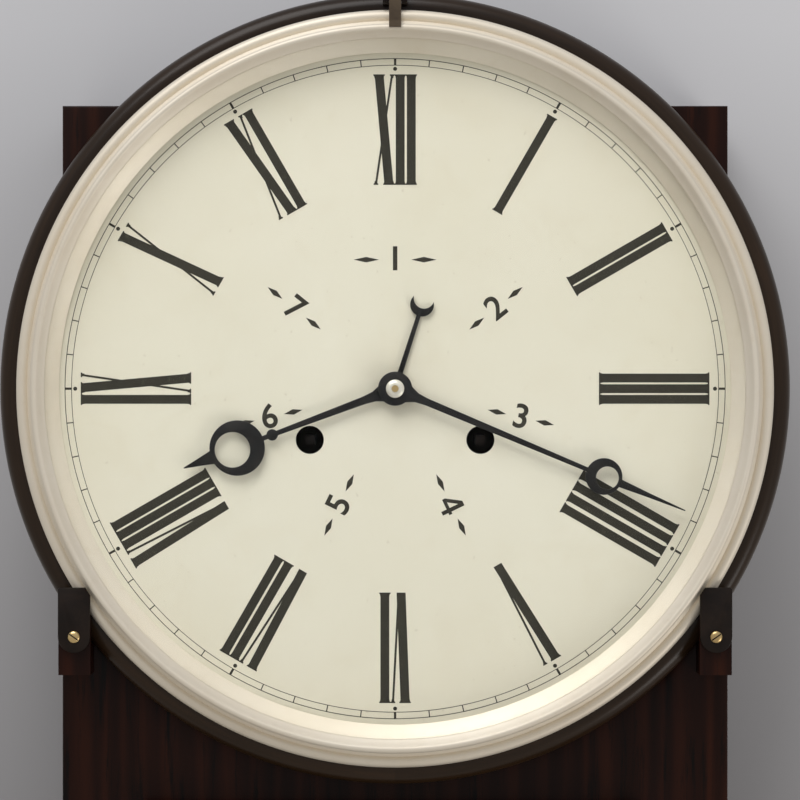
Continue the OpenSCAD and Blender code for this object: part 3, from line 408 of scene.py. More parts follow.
def metal(name, base, tarnish, rough, amount, scale=28.0, metallic=1.0):
    """Bare or lacquered metal with clouds and spots of tarnish. amount is their strength."""
    n = Nodes(name)
    cloud = n.noise(n.coords(), scale, 5.0, 0.6, 0.4)
    fine = n.noise(n.coords(), 900.0, 4.0, 0.6)
    spots = n.ramp(n.noise(n.coords(location=(3, 1, 2)), scale * 9, 3.0, 0.7), [(0.56, 0.0), (0.74, 1.0)])
    fac = n.math("MULTIPLY", n.ramp(cloud, [(0.35, 0.0), (0.75, 1.0)]), amount)
    fac = n.math("ADD", fac, n.math("MULTIPLY", spots, amount * 0.45), clamp=True)
    n.set(Base_Color=n.mix(fac, base, tarnish), Metallic=metallic)
    n.set(Roughness=n.remap(n.blend(cloud, 0.6, fine, 0.4), *rough))
    n.bump(fine, 0.08, 0.0002)
    return n.mat


def painted(name, base, worn, rough, amount, scale, metallic, shine=0.5):
    """Metal under paint, black or browning, with worn clouds. amount is their strength."""
    n = Nodes(name)
    cloud = n.noise(n.coords(), scale, 5.0, 0.6, 0.3)
    fine = n.noise(n.coords(), scale * 14, 3.0, 0.6)
    fac = n.math("MULTIPLY", n.ramp(cloud, [(0.42, 0.0), (0.72, 1.0)]), amount)
    n.set(Base_Color=n.mix(fac, base, worn), Roughness=n.remap(cloud, *rough))
    n.set(Metallic=metallic, Specular_IOR_Level=shine)
    n.bump(fine, 0.15, 0.0002)
    return n.mat


def glass(name):
    """Thin old glass with faint smudges."""
    n = Nodes(name)
    smudge = n.noise(n.coords(), 14.0, 3.0, 0.5)
    tint = n.mix(smudge, (0.985, 0.99, 0.985), (0.965, 0.975, 0.96))
    n.set(Base_Color=tint, Roughness=n.remap(smudge, 0.0, 0.02), IOR=1.12, Transmission_Weight=1.0)
    return n.mat


def dial_paint():
    """Cream paint with faint stains and specks of age, a little darker and browner round the hub. It also
    turns darker and browner towards the rim, which is painted shade from the bezel.
    """
    n = Nodes("dial_paint_aged_rim_shaded")
    v = n.coords(location=(0, 0, RISE * MM))
    x, _, z = n.split(v)
    r = n.radius(x, z)
    cloud = n.noise(v, 11.0, 5.0, 0.6, 0.5)
    stain = n.noise(v, 34.0, 6.0, 0.65, 0.8)
    specks = n.ramp(n.noise(v, 420.0, 2.0, 0.5), [(0.70, 0.0), (0.78, 1.0)])
    # painted shade: the dial turns darker and browner towards the rim, under the bezel
    rim = n.math("POWER", n.math("DIVIDE", r, 0.16, clamp=True), 5.0)
    hub = n.ramp(n.math("DIVIDE", r, 0.04, clamp=True), [(0.2, 1.0), (0.75, 0.0)])
    stained = n.ramp(stain, [(0.52, 0.0), (0.80, 1.0)])
    base = n.mix(n.ramp(cloud, [(0.3, 0.0), (0.7, 1.0)]), (0.800, 0.768, 0.640), (0.765, 0.728, 0.590))
    for place, strength, colour in (
        (stained, 0.35, (0.68, 0.62, 0.47)),
        # painted shade under the bezel at the rim
        (rim, 0.28, (0.64, 0.57, 0.42)),
        (specks, 0.25, (0.42, 0.35, 0.24)),
        (hub, 0.22, (0.58, 0.51, 0.37)),
    ):
        base = n.mix(n.math("MULTIPLY", place, strength), base, colour)
    n.set(Base_Color=base, Roughness=n.remap(stain, 0.42, 0.6), Specular_IOR_Level=0.35)
    n.bump(n.noise(v, 160.0, 4.0, 0.6), 0.10, 0.0003)
    return n.mat


def ink():
    """Printed black, worn thin in places."""
    n = Nodes("printed_black")
    v = n.coords()
    wear = n.ramp(n.noise(v, 260.0, 5.0, 0.7, 0.4), [(0.60, 0.0), (0.80, 1.0)])
    cloud = n.noise(v, 30.0, 3.0, 0.5)
    base = n.mix(cloud, (0.022, 0.020, 0.013), (0.042, 0.038, 0.026))
    base = n.mix(n.math("MULTIPLY", wear, 0.30), base, (0.22, 0.19, 0.13))
    n.set(Base_Color=base, Roughness=n.math("ADD", n.math("MULTIPLY", cloud, 0.2), 0.5))
    n.set(Specular_IOR_Level=0.3)
    return n.mat


WOOD_V = wood("dark_wood_upright", UPRIGHT)
WOOD_H = wood("dark_wood_level", LEVEL)
WOOD_IN = wood("inner_wood", UPRIGHT, (0.03, 0.014, 0.008), (0.07, 0.034, 0.018), (0.12, 0.06, 0.03))
BEZEL = metal("pale_brass", (0.84, 0.77, 0.65), (0.73, 0.63, 0.48), (0.46, 0.60), 0.42, 16.0, 0.42)
PALE = metal("pale_nickel", (0.84, 0.81, 0.72), (0.62, 0.57, 0.45), (0.34, 0.48), 0.3, 120.0, 0.55)
BRASS = metal("lacquered_brass", (0.78, 0.58, 0.28), (0.42, 0.27, 0.11), (0.2, 0.38), 0.5)
STEEL = metal("polished_steel", (0.52, 0.52, 0.53), (0.24, 0.21, 0.18), (0.24, 0.42), 0.4)
GONG_STEEL = metal("blued_spring_steel", (0.13, 0.14, 0.17), (0.09, 0.06, 0.04), (0.25, 0.42), 0.5)
HAND = painted("blacked_steel", (0.010, 0.010, 0.011), (0.035, 0.030, 0.024), (0.28, 0.42), 0.5, 90.0, 0.35)
DARK_METAL = painted("darkened_metal", (0.009, 0.0055, 0.004), (0.028, 0.016, 0.010), (0.4, 0.56), 0.6,
                     70.0, 0.1, shine=0.2)
BRONZE = painted("browned_brass", (0.105, 0.075, 0.045), (0.060, 0.040, 0.024), (0.4, 0.56), 0.7, 80.0, 0.3)
GLASS = glass("clear_glass_pane")
DIAL = dial_paint()
INK = ink()

SLOT_FINISH = {
    "dark_wood": WOOD_V,
    "dark_metal": DARK_METAL,
    "steel": STEEL,
    "brass": BRASS,
    "bezel_brass": BEZEL,
    "clear_glass": GLASS,
    "dial_paint": DIAL,
    "blued_steel": HAND,
}
OWN_FINISH = {
    "base_moulding": WOOD_H,
    "movement_blocks": WOOD_IN,
    "door_beads": WOOD_IN,
    "gong": GONG_STEEL,
    "time_winding_arbor": DARK_METAL,
    "strike_winding_arbor": DARK_METAL,
    "bezel_hinge_strap": BRONZE,
}


def finish_nodes():
    """Gives each solid the finish of its slot, or its own."""
    slots = {s["node"]: s["material_slot"] for s in frame["record"]["subparts"]}
    for name, ob in nodes.items():
        mat = OWN_FINISH.get(name, SLOT_FINISH[slots[name]])
        for i in range(len(ob.data.materials)):
            ob.data.materials[i] = mat
    for name in ("bezel_glass", "door_glass"):
        nodes[name].visible_shadow = False


# Bezel and sight ring

RING = box_of("bezel_ring")
CROWN_R, BEAD_R = 1.8, 3.1
CROWN_AT, CROWN_Z = 168.3, RING.z1 - CROWN_R
BEAD_AT, BEAD_Z = RING.x1 - BEAD_R, RING.z0 + BEAD_R
LIP_R, LIP_Z = 163.5, box_of("bezel_glass").z1 + 0.1


def bezel():
    """The rolled rim: from its lip up a hollow slope to the crown, down a groove and over the bead."""
    foot_r, foot_z = LIP_R + 0.2, LIP_Z + 1.15
    slope_r, slope_z = CROWN_AT - 1.1 - foot_r, CROWN_Z + 1.42 - foot_z
    profile = [(LIP_R, LIP_Z), (LIP_R - 0.05, LIP_Z + 0.6), (foot_r, foot_z)]
    profile += [(foot_r + slope_r * k / 7, foot_z + slope_z * (k / 7) ** 1.25) for k in range(1, 7)]
    profile += arc(CROWN_AT, CROWN_Z, CROWN_R, 126, -8, 9)
    profile += [(170.1, 121.0), (170.1, 118.6)]
    profile += arc(171.3, 117.9, 1.2, 180, 242, 3)
    profile += arc(BEAD_AT, BEAD_Z, BEAD_R, 133, -90, 16)
    profile += [(169.0, RING.z0), (168.9, 123.2), (168.1, 123.3)]
    profile += [(LIP_R + 3.4, 119.1), (LIP_R + 2.9, 119.1), (LIP_R + 2.85, 121.9)]
    bm = bmesh.new()
    lathe(bm, profile, point, 256)
    link("bezel_rim", bm, BEZEL, "bezel", smooth=38, replaced=("bezel_ring",))


def sight_ring():
    """The sloping ring between the glass and the dial, from its inner edge up to its flange."""
    profile = [
        (157.5, 111.9), (157.45, 112.25), (157.9, 112.7), (159.4, 114.1), (161.2, 115.6), (162.7, 116.9),
        (163.9, 118.0), (164.9, 118.95), (165.3, 119.15), (166.05, 119.15), (166.05, 118.4), (165.4, 118.3),
        (158.4, 111.7),
    ]
    bm = bmesh.new()
    lathe(bm, profile, point, 256)
    link("sight_ring_polished", bm, BEZEL, "bezel", smooth=32, replaced=("sight_ring",))


# Wooden surround

SURROUND = box_of("dial_surround")
SURROUND_R = SURROUND.x1 - 0.06  # a trace under the solid's radius, because its round has facets
SURROUND_EDGE_R = 7.0


def surround():
    front = SURROUND.z1
    flat_r = SURROUND_R - SURROUND_EDGE_R
    profile = [(HEAD_HOLE_R, SURROUND.z0), (HEAD_HOLE_R, front - 0.8), (HEAD_HOLE_R + 0.8, front)]
    # the points on the flat keep its shading apart from that of the rounded edge
    profile += [(176.5, front), (177.4, front), (flat_r, front)]
    profile += arc(flat_r, front - SURROUND_EDGE_R, SURROUND_EDGE_R, 84, 0, 10)
    profile += [(SURROUND_R, SURROUND.z0 + 1.0), (185.2, SURROUND.z0)]
    bm = bmesh.new()
    lathe(bm, profile, point, 256)
    link("head_surround", bm, ring_wood(), "case", smooth=35, replaced=("dial_surround",))


# Case of bevelled boards

BOARD_T = 12.0
DOOR_LAP = 13.0  # how far the door reaches over the edge of its opening


def case_boards():
    bm = bmesh.new()
    for x0, x1 in ((CASE.x0, CASE.x0 + BOARD_T), (CASE.x1 - BOARD_T, CASE.x1)):
        bevelled_box(bm, x0, x1, CASE.y0, CASE.y1, CASE.z0, CASE.z1, 0.9)
    link("case_sides", bm, WOOD_V, "case", smooth=30, replaced=("case_boards",))
    bm = bmesh.new()
    reach = CASE.x1 - BOARD_T - 0.05
    for low in (CASE.y1 - BOARD_T, CASE.y0):
        bevelled_box(bm, -reach, reach, low, low + BOARD_T, CASE.z0, CASE.z1, 0.6)
    link("case_top_and_bottom", bm, WOOD_H, "case", smooth=30)


def front_board():
    """The head's round hole is open at the top, where it cuts through the board's upper edge."""
    gap = math.degrees(math.acos(CASE.y1 / HEAD_HOLE_R))
    outline = [(CASE.x0, CASE.y1), (CASE.x0, CASE.y0), (CASE.x1, CASE.y0), (CASE.x1, CASE.y1)]
    outline += arc(0, 0, HEAD_HOLE_R, 90 - gap, gap - 270, 110)
    doorway = rect(DOOR.x0 + DOOR_LAP, DOOR.x1 - DOOR_LAP, DOOR.y0 + DOOR_LAP, DOOR.y1 - DOOR_LAP)
    bm = bmesh.new()
    solid_poly(bm, [outline, doorway], CASE.z1, CASE_Z, 0.9)
    link("front_board_veneered", bm, WOOD_V, "case", smooth=30, replaced=("front_board",))


def base_moulding():
    """A cyma run round the front and the sides, of points out from the case and up from its foot."""
    profile = [(0, 0), (7.4, 0), (8, 0.6), (8, 7.4), (7.4, 8.0), (6.6, 8.2)]
    for t in (0.15, 0.3, 0.45, 0.6, 0.75, 0.9, 1.0):
        profile.append((8.0 - 4.2 * (1 - math.cos(math.pi * t / 2)) - 1.4, 8.4 + 6.6 * t))
    profile += [(2.6, 15.6), (2.6, 17.4), (2.0, 18.0), (0, 18.0)]
    bm = bmesh.new()
    rows = []
    for side, front in ((-1, 0), (-1, 1), (1, 1), (1, 0)):
        row = []
        for out, up in profile:
            row.append(bm.verts.new(point(side * (CASE.x1 + out), CASE.y0 + up, front * (CASE_Z + out))))
        rows.append(row)
    bridge(bm, rows)
    bm.faces.new(rows[0])
    bm.faces.new(rows[-1])
    link("base_moulding_run", bm, WOOD_H, "case", smooth=28, replaced=("base_moulding",))


# Trunk door

STILE = 28.0  # width of the frame's bars
KNOB = box_of("door_knob")
TONGUE_REACH, TONGUE_HALF, TONGUE_T = 14.0, 4.0, 3.0
KNOB_X, KNOB_Y = KNOB.x1 - TONGUE_REACH, (KNOB.y0 + KNOB.y1) / 2


def door_bars(name, bars, mat, replaced=()):
    """Mitred bars of the frame, counted from the foot. The inner edge of each steps down to a moulding."""
    outer = rect(DOOR.x0, DOOR.x1, DOOR.y0, DOOR.y1)
    inner = rect(DOOR.x0 + STILE, DOOR.x1 - STILE, DOOR.y0 + STILE, DOOR.y1 - STILE)
    # distance in from the outer edge, and depth under the front
    section = [
        (0.0, 1.0), (0.3, 0.3), (1.0, 0.0), (22.0, 0.0), (22.3, 1.0), (23.5, 0.7), (24.8, 1.1), (26.2, 2.4),
        (27.0, 4.2), (STILE, 4.4),
    ]
    thick = DOOR.z1 - DOOR.z0
    section = [(0.0, thick)] + section + [(STILE, thick)]
    bm = bmesh.new()
    for k in bars:
        ends = []
        for corner in (k, (k + 1) % 4):
            (x0, y0), (x1, y1) = outer[corner], inner[corner]
            ends.append([
                bm.verts.new(point(x0 + (x1 - x0) * t / STILE, y0 + (y1 - y0) * t / STILE, DOOR.z1 - depth))
                for t, depth in section
            ])
        bridge(bm, ends)
        bm.faces.new(ends[0])
        bm.faces.new(ends[1])
    link(name, bm, mat, "door", smooth=28, replaced=replaced)


def door_knob():
    """A turned knob on its shank, with the tongue that holds the door on the shank's inner end."""
    foot = DOOR.z1 + 0.2
    profile = [(0.0001, KNOB.z0), (2.5, KNOB.z0), (2.5, foot), (4.5, foot), (4.5, 107.3), (3.9, 107.8)]
    profile += [(2.4, 108.4), (2.2, 110.0), (2.6, 111.4), (4.6, 112.0), (6.3, 113.0), (7.4, 114.4)]
    profile += [(7.75, 115.9), (7.3, 117.4), (6.1, 118.5), (4.2, 119.2), (2.0, 119.45), (0.0001, KNOB.z1)]
    bm = bmesh.new()
    lathe(bm, profile, turned_at(KNOB_X, KNOB_Y), 64, closed=False)
    bevelled_box(bm, KNOB_X - TONGUE_HALF, KNOB.x1, KNOB_Y - TONGUE_HALF, KNOB_Y + TONGUE_HALF, KNOB.z0,
                 KNOB.z0 + TONGUE_T, 0.5)
    link("door_knob_turned", bm, BRASS, "knob", smooth=32, replaced=("door_knob",))


# Numerals on the dial

FOOT_V, TOP_V = 95.6, 147.4  # the strokes' ends, out from the centre
THICK, THIN = 4.15, 1.0
SERIF_LIFT, THIN_LIFT, MARK_LIFT = 0.03, 0.01, 0.005  # keep printing that crosses from flickering
# each with the pitch of its I strokes
NUMERALS = [
    ("XII", 5.2), ("I", 5.0), ("II", 5.0), ("III", 5.0), ("IIII", 5.9), ("V", 5.0),
    ("VI", 5.2), ("VII", 5.2), ("VIII", 5.0), ("IX", 5.4), ("X", 5.0), ("XI", 5.4),
]


def put(bm, angle, pts, lift=0.0):
    flat_poly(bm, [on_dial(angle, u, v) for u, v in pts], PRINT_Z + lift)


def serif(bm, angle, u0, u1, v, d):
    """A thin foot with small brackets at v, on a stroke from u0 to u1 that goes on in the direction d."""
    e = 0.6
    put(bm, angle, [(u0 - e, v), (u1 + e, v), (u1 + e, v + d * 0.55), (u1 + 0.25, v + d * 0.75),
                    (u1, v + d * 1.8), (u0, v + d * 1.8), (u0 - 0.25, v + d * 0.75), (u0 - e, v + d * 0.55)],
        SERIF_LIFT)


def stroke(bm, angle, foot_u, top_u, w, lift=0.0, foot=True):
    """A stroke w wide from foot_u to top_u, with a serif on top and perhaps one at the foot."""
    put(bm, angle, [(foot_u - w / 2, FOOT_V), (foot_u + w / 2, FOOT_V), (top_u + w / 2, TOP_V),
                    (top_u - w / 2, TOP_V)], lift)
    if foot:
        serif(bm, angle, foot_u - w / 2, foot_u + w / 2, FOOT_V, 1)
    serif(bm, angle, top_u - w / 2, top_u + w / 2, TOP_V, -1)


def draw_numeral(bm, angle, text, pitch):
    widths = {"I": pitch, "V": 9.6, "X": 10.0}
    u = -sum(widths[c] for c in text) / 2
    for c in text:
        w = widths[c]
        m = u + w / 2
        lean = w / 2 - THICK / 2 - 0.6
        if c == "I":
            stroke(bm, angle, m, m, THICK)
        elif c == "V":
            stroke(bm, angle, m - 0.2, m - lean, THICK * 1.02, foot=False)
            stroke(bm, angle, m + 0.9, m + w / 2 - 1.2, THIN, THIN_LIFT, foot=False)
        else:
            stroke(bm, angle, m + lean, m - lean, THICK * 1.02)
            stroke(bm, angle, m - w / 2 + 1.2, m + w / 2 - 1.2, THIN, THIN_LIFT)
        u += w


def numerals():
    bm = bmesh.new()
    for k, (text, pitch) in enumerate(NUMERALS):
        draw_numeral(bm, 30 * k, text, pitch)
    link("dial_numerals", bm, INK, "case")


# Minute track

TRACK_LINES = ((151.55, 151.85), (154.6, 154.95))  # inner and outer radius of each fine circle
MARK_V = (151.7, 154.8)
DOT_AT, DOT_R = 150.0, 0.95


def annulus(bm, r0, r1):
    rings = []
    for r in (r0, r1):
        rings.append([bm.verts.new(point(x, y, PRINT_Z)) for x, y in circle(0, 0, r, 360)])
    bridge(bm, rings)


def minute_track():
    """Two fine circles, minute marks between them and a dot at each five minutes."""
    bm = bmesh.new()
    for r0, r1 in TRACK_LINES:
        annulus(bm, r0, r1)
    for minute in range(60):
        w = 0.5 if minute % 5 else 1.1
        put(bm, minute * 6, rect(-w / 2, w / 2, *MARK_V), MARK_LIFT)
        if minute % 5 == 0:
            cx, cy = on_dial(minute * 6, 0, DOT_AT)
            flat_poly(bm, circle(cx, cy, DOT_R, 18), PRINT_Z)
    link("minute_track", bm, INK, "case")


# Day numbers: plain figures, each between two lozenges

LABEL_R = 60.5
LOZENGE_W = 1.3  # half the width of a lozenge
# the figure 4 is drawn here, because the font's own loses its counter when it is emboldened
FOUR = [
    [(1.0, -5.6), (2.9, -5.6), (2.9, -2.8), (4.0, -2.8), (4.0, -1.2), (2.9, -1.2), (2.9, 5.6), (0.5, 5.6),
     (-4.0, -1.3), (-4.0, -2.8), (1.0, -2.8)],
    [(1.0, -1.2), (-1.9, -1.2), (1.0, 3.2)],
]


def lozenge(bm, angle, side, level):
    """Beside the number: along the track where the label is level, and otherwise along the radius."""
    near, far = (7.5, 19.5) if level else (7.0, 16.0)
    middle = (near + far) / 2
    pts = [(side * near, 0), (side * middle, -LOZENGE_W), (side * far, 0), (side * middle, LOZENGE_W)]
    if not level:
        pts = [(-v, u) for u, v in pts]
    put(bm, angle, [(u, LABEL_R + v) for u, v in pts])


def figure_four(angle, turn):
    """The 4, drawn upright and turned clockwise."""
    cx, cy = on_dial(angle, 0, LABEL_R)
    c, s = unit(turn)
    loops = [[(cx + x * c + y * s, cy - x * s + y * c) for x, y in loop] for loop in FOUR]
    bm = bmesh.new()
    solid_poly(bm, loops, PRINT_Z - 0.01, PRINT_Z + 0.01)
    link("day_number_4", bm, INK, "case")


def font_figure(digit, angle, turn):
    """A figure of the font, emboldened and turned clockwise."""
    name = "day_number_%d" % digit
    curve = bpy.data.curves.new(name, "FONT")
    curve.body = str(digit)
    curve.size = 0.0158
    curve.offset = 0.00026
    curve.align_x = "CENTER"
    curve.align_y = "CENTER"
    curve.extrude = 0.00001
    curve.resolution_u = 6
    text = bpy.data.objects.new("day_number_tmp", curve)
    bpy.context.collection.objects.link(text)
    x, y = on_dial(angle, 0, LABEL_R)
    upright = Matrix.Rotation(math.radians(90), 4, "X")
    turned = Matrix.Rotation(-math.radians(turn), 4, "Z")
    text.matrix_world = Matrix.Translation(point(x, y, PRINT_Z)) @ upright @ turned
    bpy.context.view_layer.update()
    mesh = bpy.data.meshes.new_from_object(text.evaluated_get(bpy.context.evaluated_depsgraph_get()))
    mesh.transform(text.matrix_world)
    mesh.name = name
    bpy.data.objects.remove(text)
    show(name, mesh, INK, "case")


def day_labels():
    """The top label lies level, and the others read along the radius."""
    marks = bmesh.new()
    for k in range(7):
        angle = 360.0 / 7 * k
        level = k == 0
        turn = 0 if level else (angle - 90 if angle < 180 else angle + 90)
        for side in (-1, 1):
            lozenge(marks, angle, side, level)
        if k + 1 == 4:
            figure_four(angle, turn)
        else:
            font_figure(k + 1, angle, turn)
    link("day_lozenges", marks, INK, "case")


# Hands

MINUTE_ANGLE = SHOW_MINUTE * 6
HOUR_ANGLE = (SHOW_HOUR + SHOW_MINUTE / 60) * 30
DAY_ANGLE = HOUR_ANGLE / 720 * 360 / 7


def hand(name, node, body, angle, loops, edge=0.22):
    solid = box_of(node)
    turned = [[on_dial(angle, u, v) for u, v in loop] for loop in loops]
    bm = bmesh.new()
    solid_poly(bm, turned, solid.z0, solid.z1, edge)
    link(name, bm, HAND, body, smooth=30, replaced=(node,))


def leaf_hand(hub_r, bore_r, half_in, half_out, ring_at, ring_r, hole, shift, tip, tip_half, bead=None):
    """Outlines of a hand with hub, shank, ring and a pointed tip.

    half_in and half_out are half the shank's width at the hub and at the ring. The ring's hole has the share
    hole of ring_r, and lies outward by the share shift. bead is the place and radius of a bead on the shank.
    """
    flare = half_in + 2.4
    right = [(flare, math.sqrt(hub_r ** 2 - flare ** 2))]
    right += [(half_in * 1.45, hub_r + 3.0), (half_in * 1.12, hub_r + 8.0)]
    if bead:
        bead_at, bead_r = bead
        a = rise_of(half_out, bead_r)
        right += clock_arc(bead_at, bead_r, 180 - a, a, 10)
    right += clock_arc(ring_at, ring_r, 180 - rise_of(half_out, ring_r), rise_of(tip_half, ring_r), 28)
    right.append((tip_half * 0.55, ring_at + ring_r + (tip - ring_at - ring_r) * 0.45))
    right.append((0.3, tip - 0.4))
    left = [(-u, v) for u, v in reversed(right)]
    a = rise_of(flare, hub_r)
    hub = clock_arc(0, hub_r, -a, a - 360, 40)[1:-1]
    return [
        right + [(0.0, tip)] + left + hub,
        clock_circle(ring_at + ring_r * shift, ring_r * hole, 40),
        clock_circle(0, bore_r, 32),
    ]


def crescent_hand(hub_r, bore_r, half, horn_r, tip):
    """Outlines of a hand with hub, shank and a crescent that is open outward."""
    at = tip - horn_r
    inner_r, inner_at = horn_r * 0.86, tip - horn_r * 0.45
    gap = inner_at - at
    along = (horn_r ** 2 - inner_r ** 2 + gap ** 2) / (2 * gap)
    across = math.sqrt(horn_r ** 2 - along ** 2)
    a_out = math.degrees(math.atan2(across, along))
    a_in = math.degrees(math.atan2(across, along - gap))
    root = rise_of(1.0, horn_r)
    foot = math.sqrt(hub_r ** 2 - half ** 2)
    outline = [(half, foot)]
    outline += clock_arc(at, horn_r, 180 - root, a_out, 18)
    outline += clock_arc(inner_at, inner_r, a_in, 360 - a_in, 26)[1:-1]
    outline += clock_arc(at, horn_r, 360 - a_out, 180 + root, 18)
    outline.append((-half, foot))
    a = rise_of(half, hub_r)
    outline += clock_arc(0, hub_r, -a, a - 360, 36)[1:-1]
    return [outline, clock_circle(0, bore_r, 32)]


def hands():
    minute = leaf_hand(hub_r=8.0, bore_r=2.56, half_in=1.55, half_out=1.05, ring_at=106.0, ring_r=8.6,
                       hole=0.62, shift=0.2, tip=147.4, tip_half=1.9)
    hour = leaf_hand(hub_r=7.5, bore_r=3.46, half_in=1.65, half_out=1.15, ring_at=79.0, ring_r=13.0,
                     hole=0.64, shift=0.18, tip=105.9, tip_half=3.2, bead=(61.5, 2.7))
    day = crescent_hand(hub_r=7.0, bore_r=4.36, half=1.25, horn_r=5.6, tip=47.0)
    hand("minute_hand_pierced", "minute_hand", "minute", MINUTE_ANGLE, minute)
    hand("hour_hand_pierced", "hour_hand", "hour", HOUR_ANGLE, hour)
    hand("day_hand_crescent", "day_hand", "day", DAY_ANGLE, day, edge=0.2)


def hand_nut():
    """A domed nut, of points out from the arbor and up from the minute hand."""
    foot = box_of("hand_nut").z0
    profile = [(1.66, 0.0), (4.0, 0.0), (4.3, 0.3), (4.3, 0.8), (3.9, 1.4), (3.0, 1.85), (2.2, 2.0)]
    profile.append((1.66, 2.0))
    bm = bmesh.new()
    lathe(bm, [(r, foot + up) for r, up in profile], point, 48)
    link("hand_collet", bm, PALE, "minute", smooth=30, replaced=("hand_nut",))


# Screws

DIAL_SCREW_R = 162.1  # circle of the dial's four screws
HANGER_SCREW = (11.0, 116.0, 1.24)  # under its head, which is let into the hanger's back
PLATE_SCREWS = ((54.0, 70.0, 10), (20.0, -51.0, 50))  # on the right, with the turn of their slots
SCREW_HEAD = [(2.8, 0.0), (2.8, 0.35), (2.5, 0.75), (1.9, 1.05), (1.0, 1.18), (0.0001, 1.2)]
SCREW_SHANK = [(0.0001, -7.0), (1.3, -7.0), (1.5, -6.2), (1.5, 0.0)]
SLOT_DOME = ((-2.5, 0.76), (-1.9, 1.06), (-1.0, 1.19), (0.0, 1.21), (1.0, 1.19), (1.9, 1.06), (2.5, 0.76))


def seat(x, y, z, way=1):
    """Places a screw's own points. Its head points forward or, where way is -1, to the wall."""
    return lambda u, v, w: point(x + u, y + v, z + way * w)


def driver_slot(bm, place, turn):
    """A dark strip that follows the head's dome: painted shade that stands in for a cut slot."""
    c, s = unit(turn)
    rows = []
    for u, z in SLOT_DOME:
        rows.append([bm.verts.new(place(u * c - v * s, u * s + v * c, z + 0.012)) for v in (-0.3, 0.3)])
    bridge(bm, rows, ring=False)


def screws():
    """The catches' and the hanger's screws, those of the movement's back plate, and the dial's."""
    plate_z = box_of("back_plate").z1
    hanger_x, hanger_y, hanger_z = HANGER_SCREW
    seats = []
    for side in (-1, 1):
        seats.append((seat(side * CATCH_X, CATCH_Y, CATCH.z1), 35 * side))
        seats.append((seat(side * hanger_x, hanger_y, hanger_z, -1), 20 * side))
        for x, y, turn in PLATE_SCREWS:
            seats.append((seat(side * x, y, plate_z), turn * side))
    for turn in (45, 135, 225, 315):
        c, s = unit(turn)
        seats.append((seat(DIAL_SCREW_R * c, DIAL_SCREW_R * s, DIAL_Z), turn))
    heads = bmesh.new()
    slots = bmesh.new()
    for place, turn in seats:
        lathe(heads, SCREW_SHANK + SCREW_HEAD, place, 32, closed=False)
        # each slot is a dark strip of painted shade on the dome, not cut into the head
        driver_slot(slots, place, turn)
    link("screws", heads, BRASS, "case", smooth=35, replaced=("wood_screws",))
    link("screw_slot_shades", slots, DARK_METAL, "case")


# Catches

CATCH_GRIP_R = 172.2  # how far in the tip reaches over the bezel's bead
CATCH_HOLE_R = 1.56


def catch(side, name):
    """A plate round below its pivot, whose tip is cut to the bezel's round."""
    tip = CATCH.y1
    pts = arc(CATCH_X, CATCH_Y, CATCH_HALF, 180, 360, 15)
    pts += [(CATCH.x1, tip - 0.6), (CATCH.x1 - 0.6, tip)]
    pts += [(math.sqrt(CATCH_GRIP_R ** 2 - y ** 2), y) for y in (tip, tip - 1.5, tip - 3.0)]
    pts.append((CATCH.x0, -math.sqrt(CATCH_GRIP_R ** 2 - CATCH.x0 ** 2)))
    hole = circle(CATCH_X, CATCH_Y, CATCH_HOLE_R, 24)
    bm = bmesh.new()
    solid_poly(bm, [[(side * x, y) for x, y in loop] for loop in (pts, hole)], CATCH.z0, CATCH.z1, 0.5)
    link("catch_" + name, bm, DARK_METAL, "catch_" + name, smooth=30,
         replaced=("bezel_catch_" + name,))


# Pendulum

BOB = box_of("pendulum_bob", digits=2)
BOB_Y, BOB_Z = (BOB.y0 + BOB.y1) / 2, (BOB.z0 + BOB.z1) / 2
BOB_R, BOB_T = BOB.x1 + 0.4, BOB.z1 - BOB.z0  # radius to where its domes would meet, and thickness
NUT_RIBS = 24


def bob():
    """A lens of two thin domes with a narrow rim."""
    dome_r = (BOB_R ** 2 + BOB_T ** 2 / 4) / BOB_T
    steps = 18
    dome = []
    for k in range(steps + 1):
        r = (BOB_R - 0.8) * k / steps
        dome.append((max(r, 0.0001), BOB_T / 2 - dome_r + math.sqrt(dome_r ** 2 - r ** 2)))
    rim = [(BOB_R - 0.42, 0.35), (BOB_R - 0.4, 0.0), (BOB_R - 0.42, -0.35)]
    profile = dome + rim + [(r, -z) for r, z in reversed(dome)]
    bm = bmesh.new()
    lathe(bm, [(r, BOB_Z + z) for r, z in profile], turned_at(0, BOB_Y), 128, closed=False)
    link("bob_lens", bm, BRASS, "pendulum", smooth=40, replaced=("pendulum_bob",))


def rating_nut():
    """A milled nut under the bob, with its two rims drawn in."""
    top = box_of("rating_nut", digits=2).y1
    outline = []
    for k in range(2 * NUT_RIBS):
        c, s = unit(180 * k / NUT_RIBS)
        r = 5.0 if k % 2 else 4.75
        outline.append((r * c, r * s))
    bm = bmesh.new()
    rows = []
    for drop, share in ((5.0, 0.92), (4.6, 1.0), (0.4, 1.0), (0.0, 0.92)):
        rows.append([bm.verts.new(point(x * share, top - drop, BOB_Z + z * share)) for x, z in outline])
    bridge(bm, rows)
    bm.faces.new(rows[0])
    bm.faces.new(rows[-1])
    link("rating_nut_milled", bm, BRASS, "pendulum", smooth=20, replaced=("rating_nut",))


# Gong

GONG = box_of("gong")
GONG_Y, GONG_Z = -150.0, 14.1  # the coil's centre, and the wire's middle over the wall
GONG_TURNS, GONG_WIRE = 4, 2.2
GONG_R0, GONG_R1 = 8.0, GONG.x1 - GONG_WIRE / 2  # radius of the wire's middle at its inner and outer end


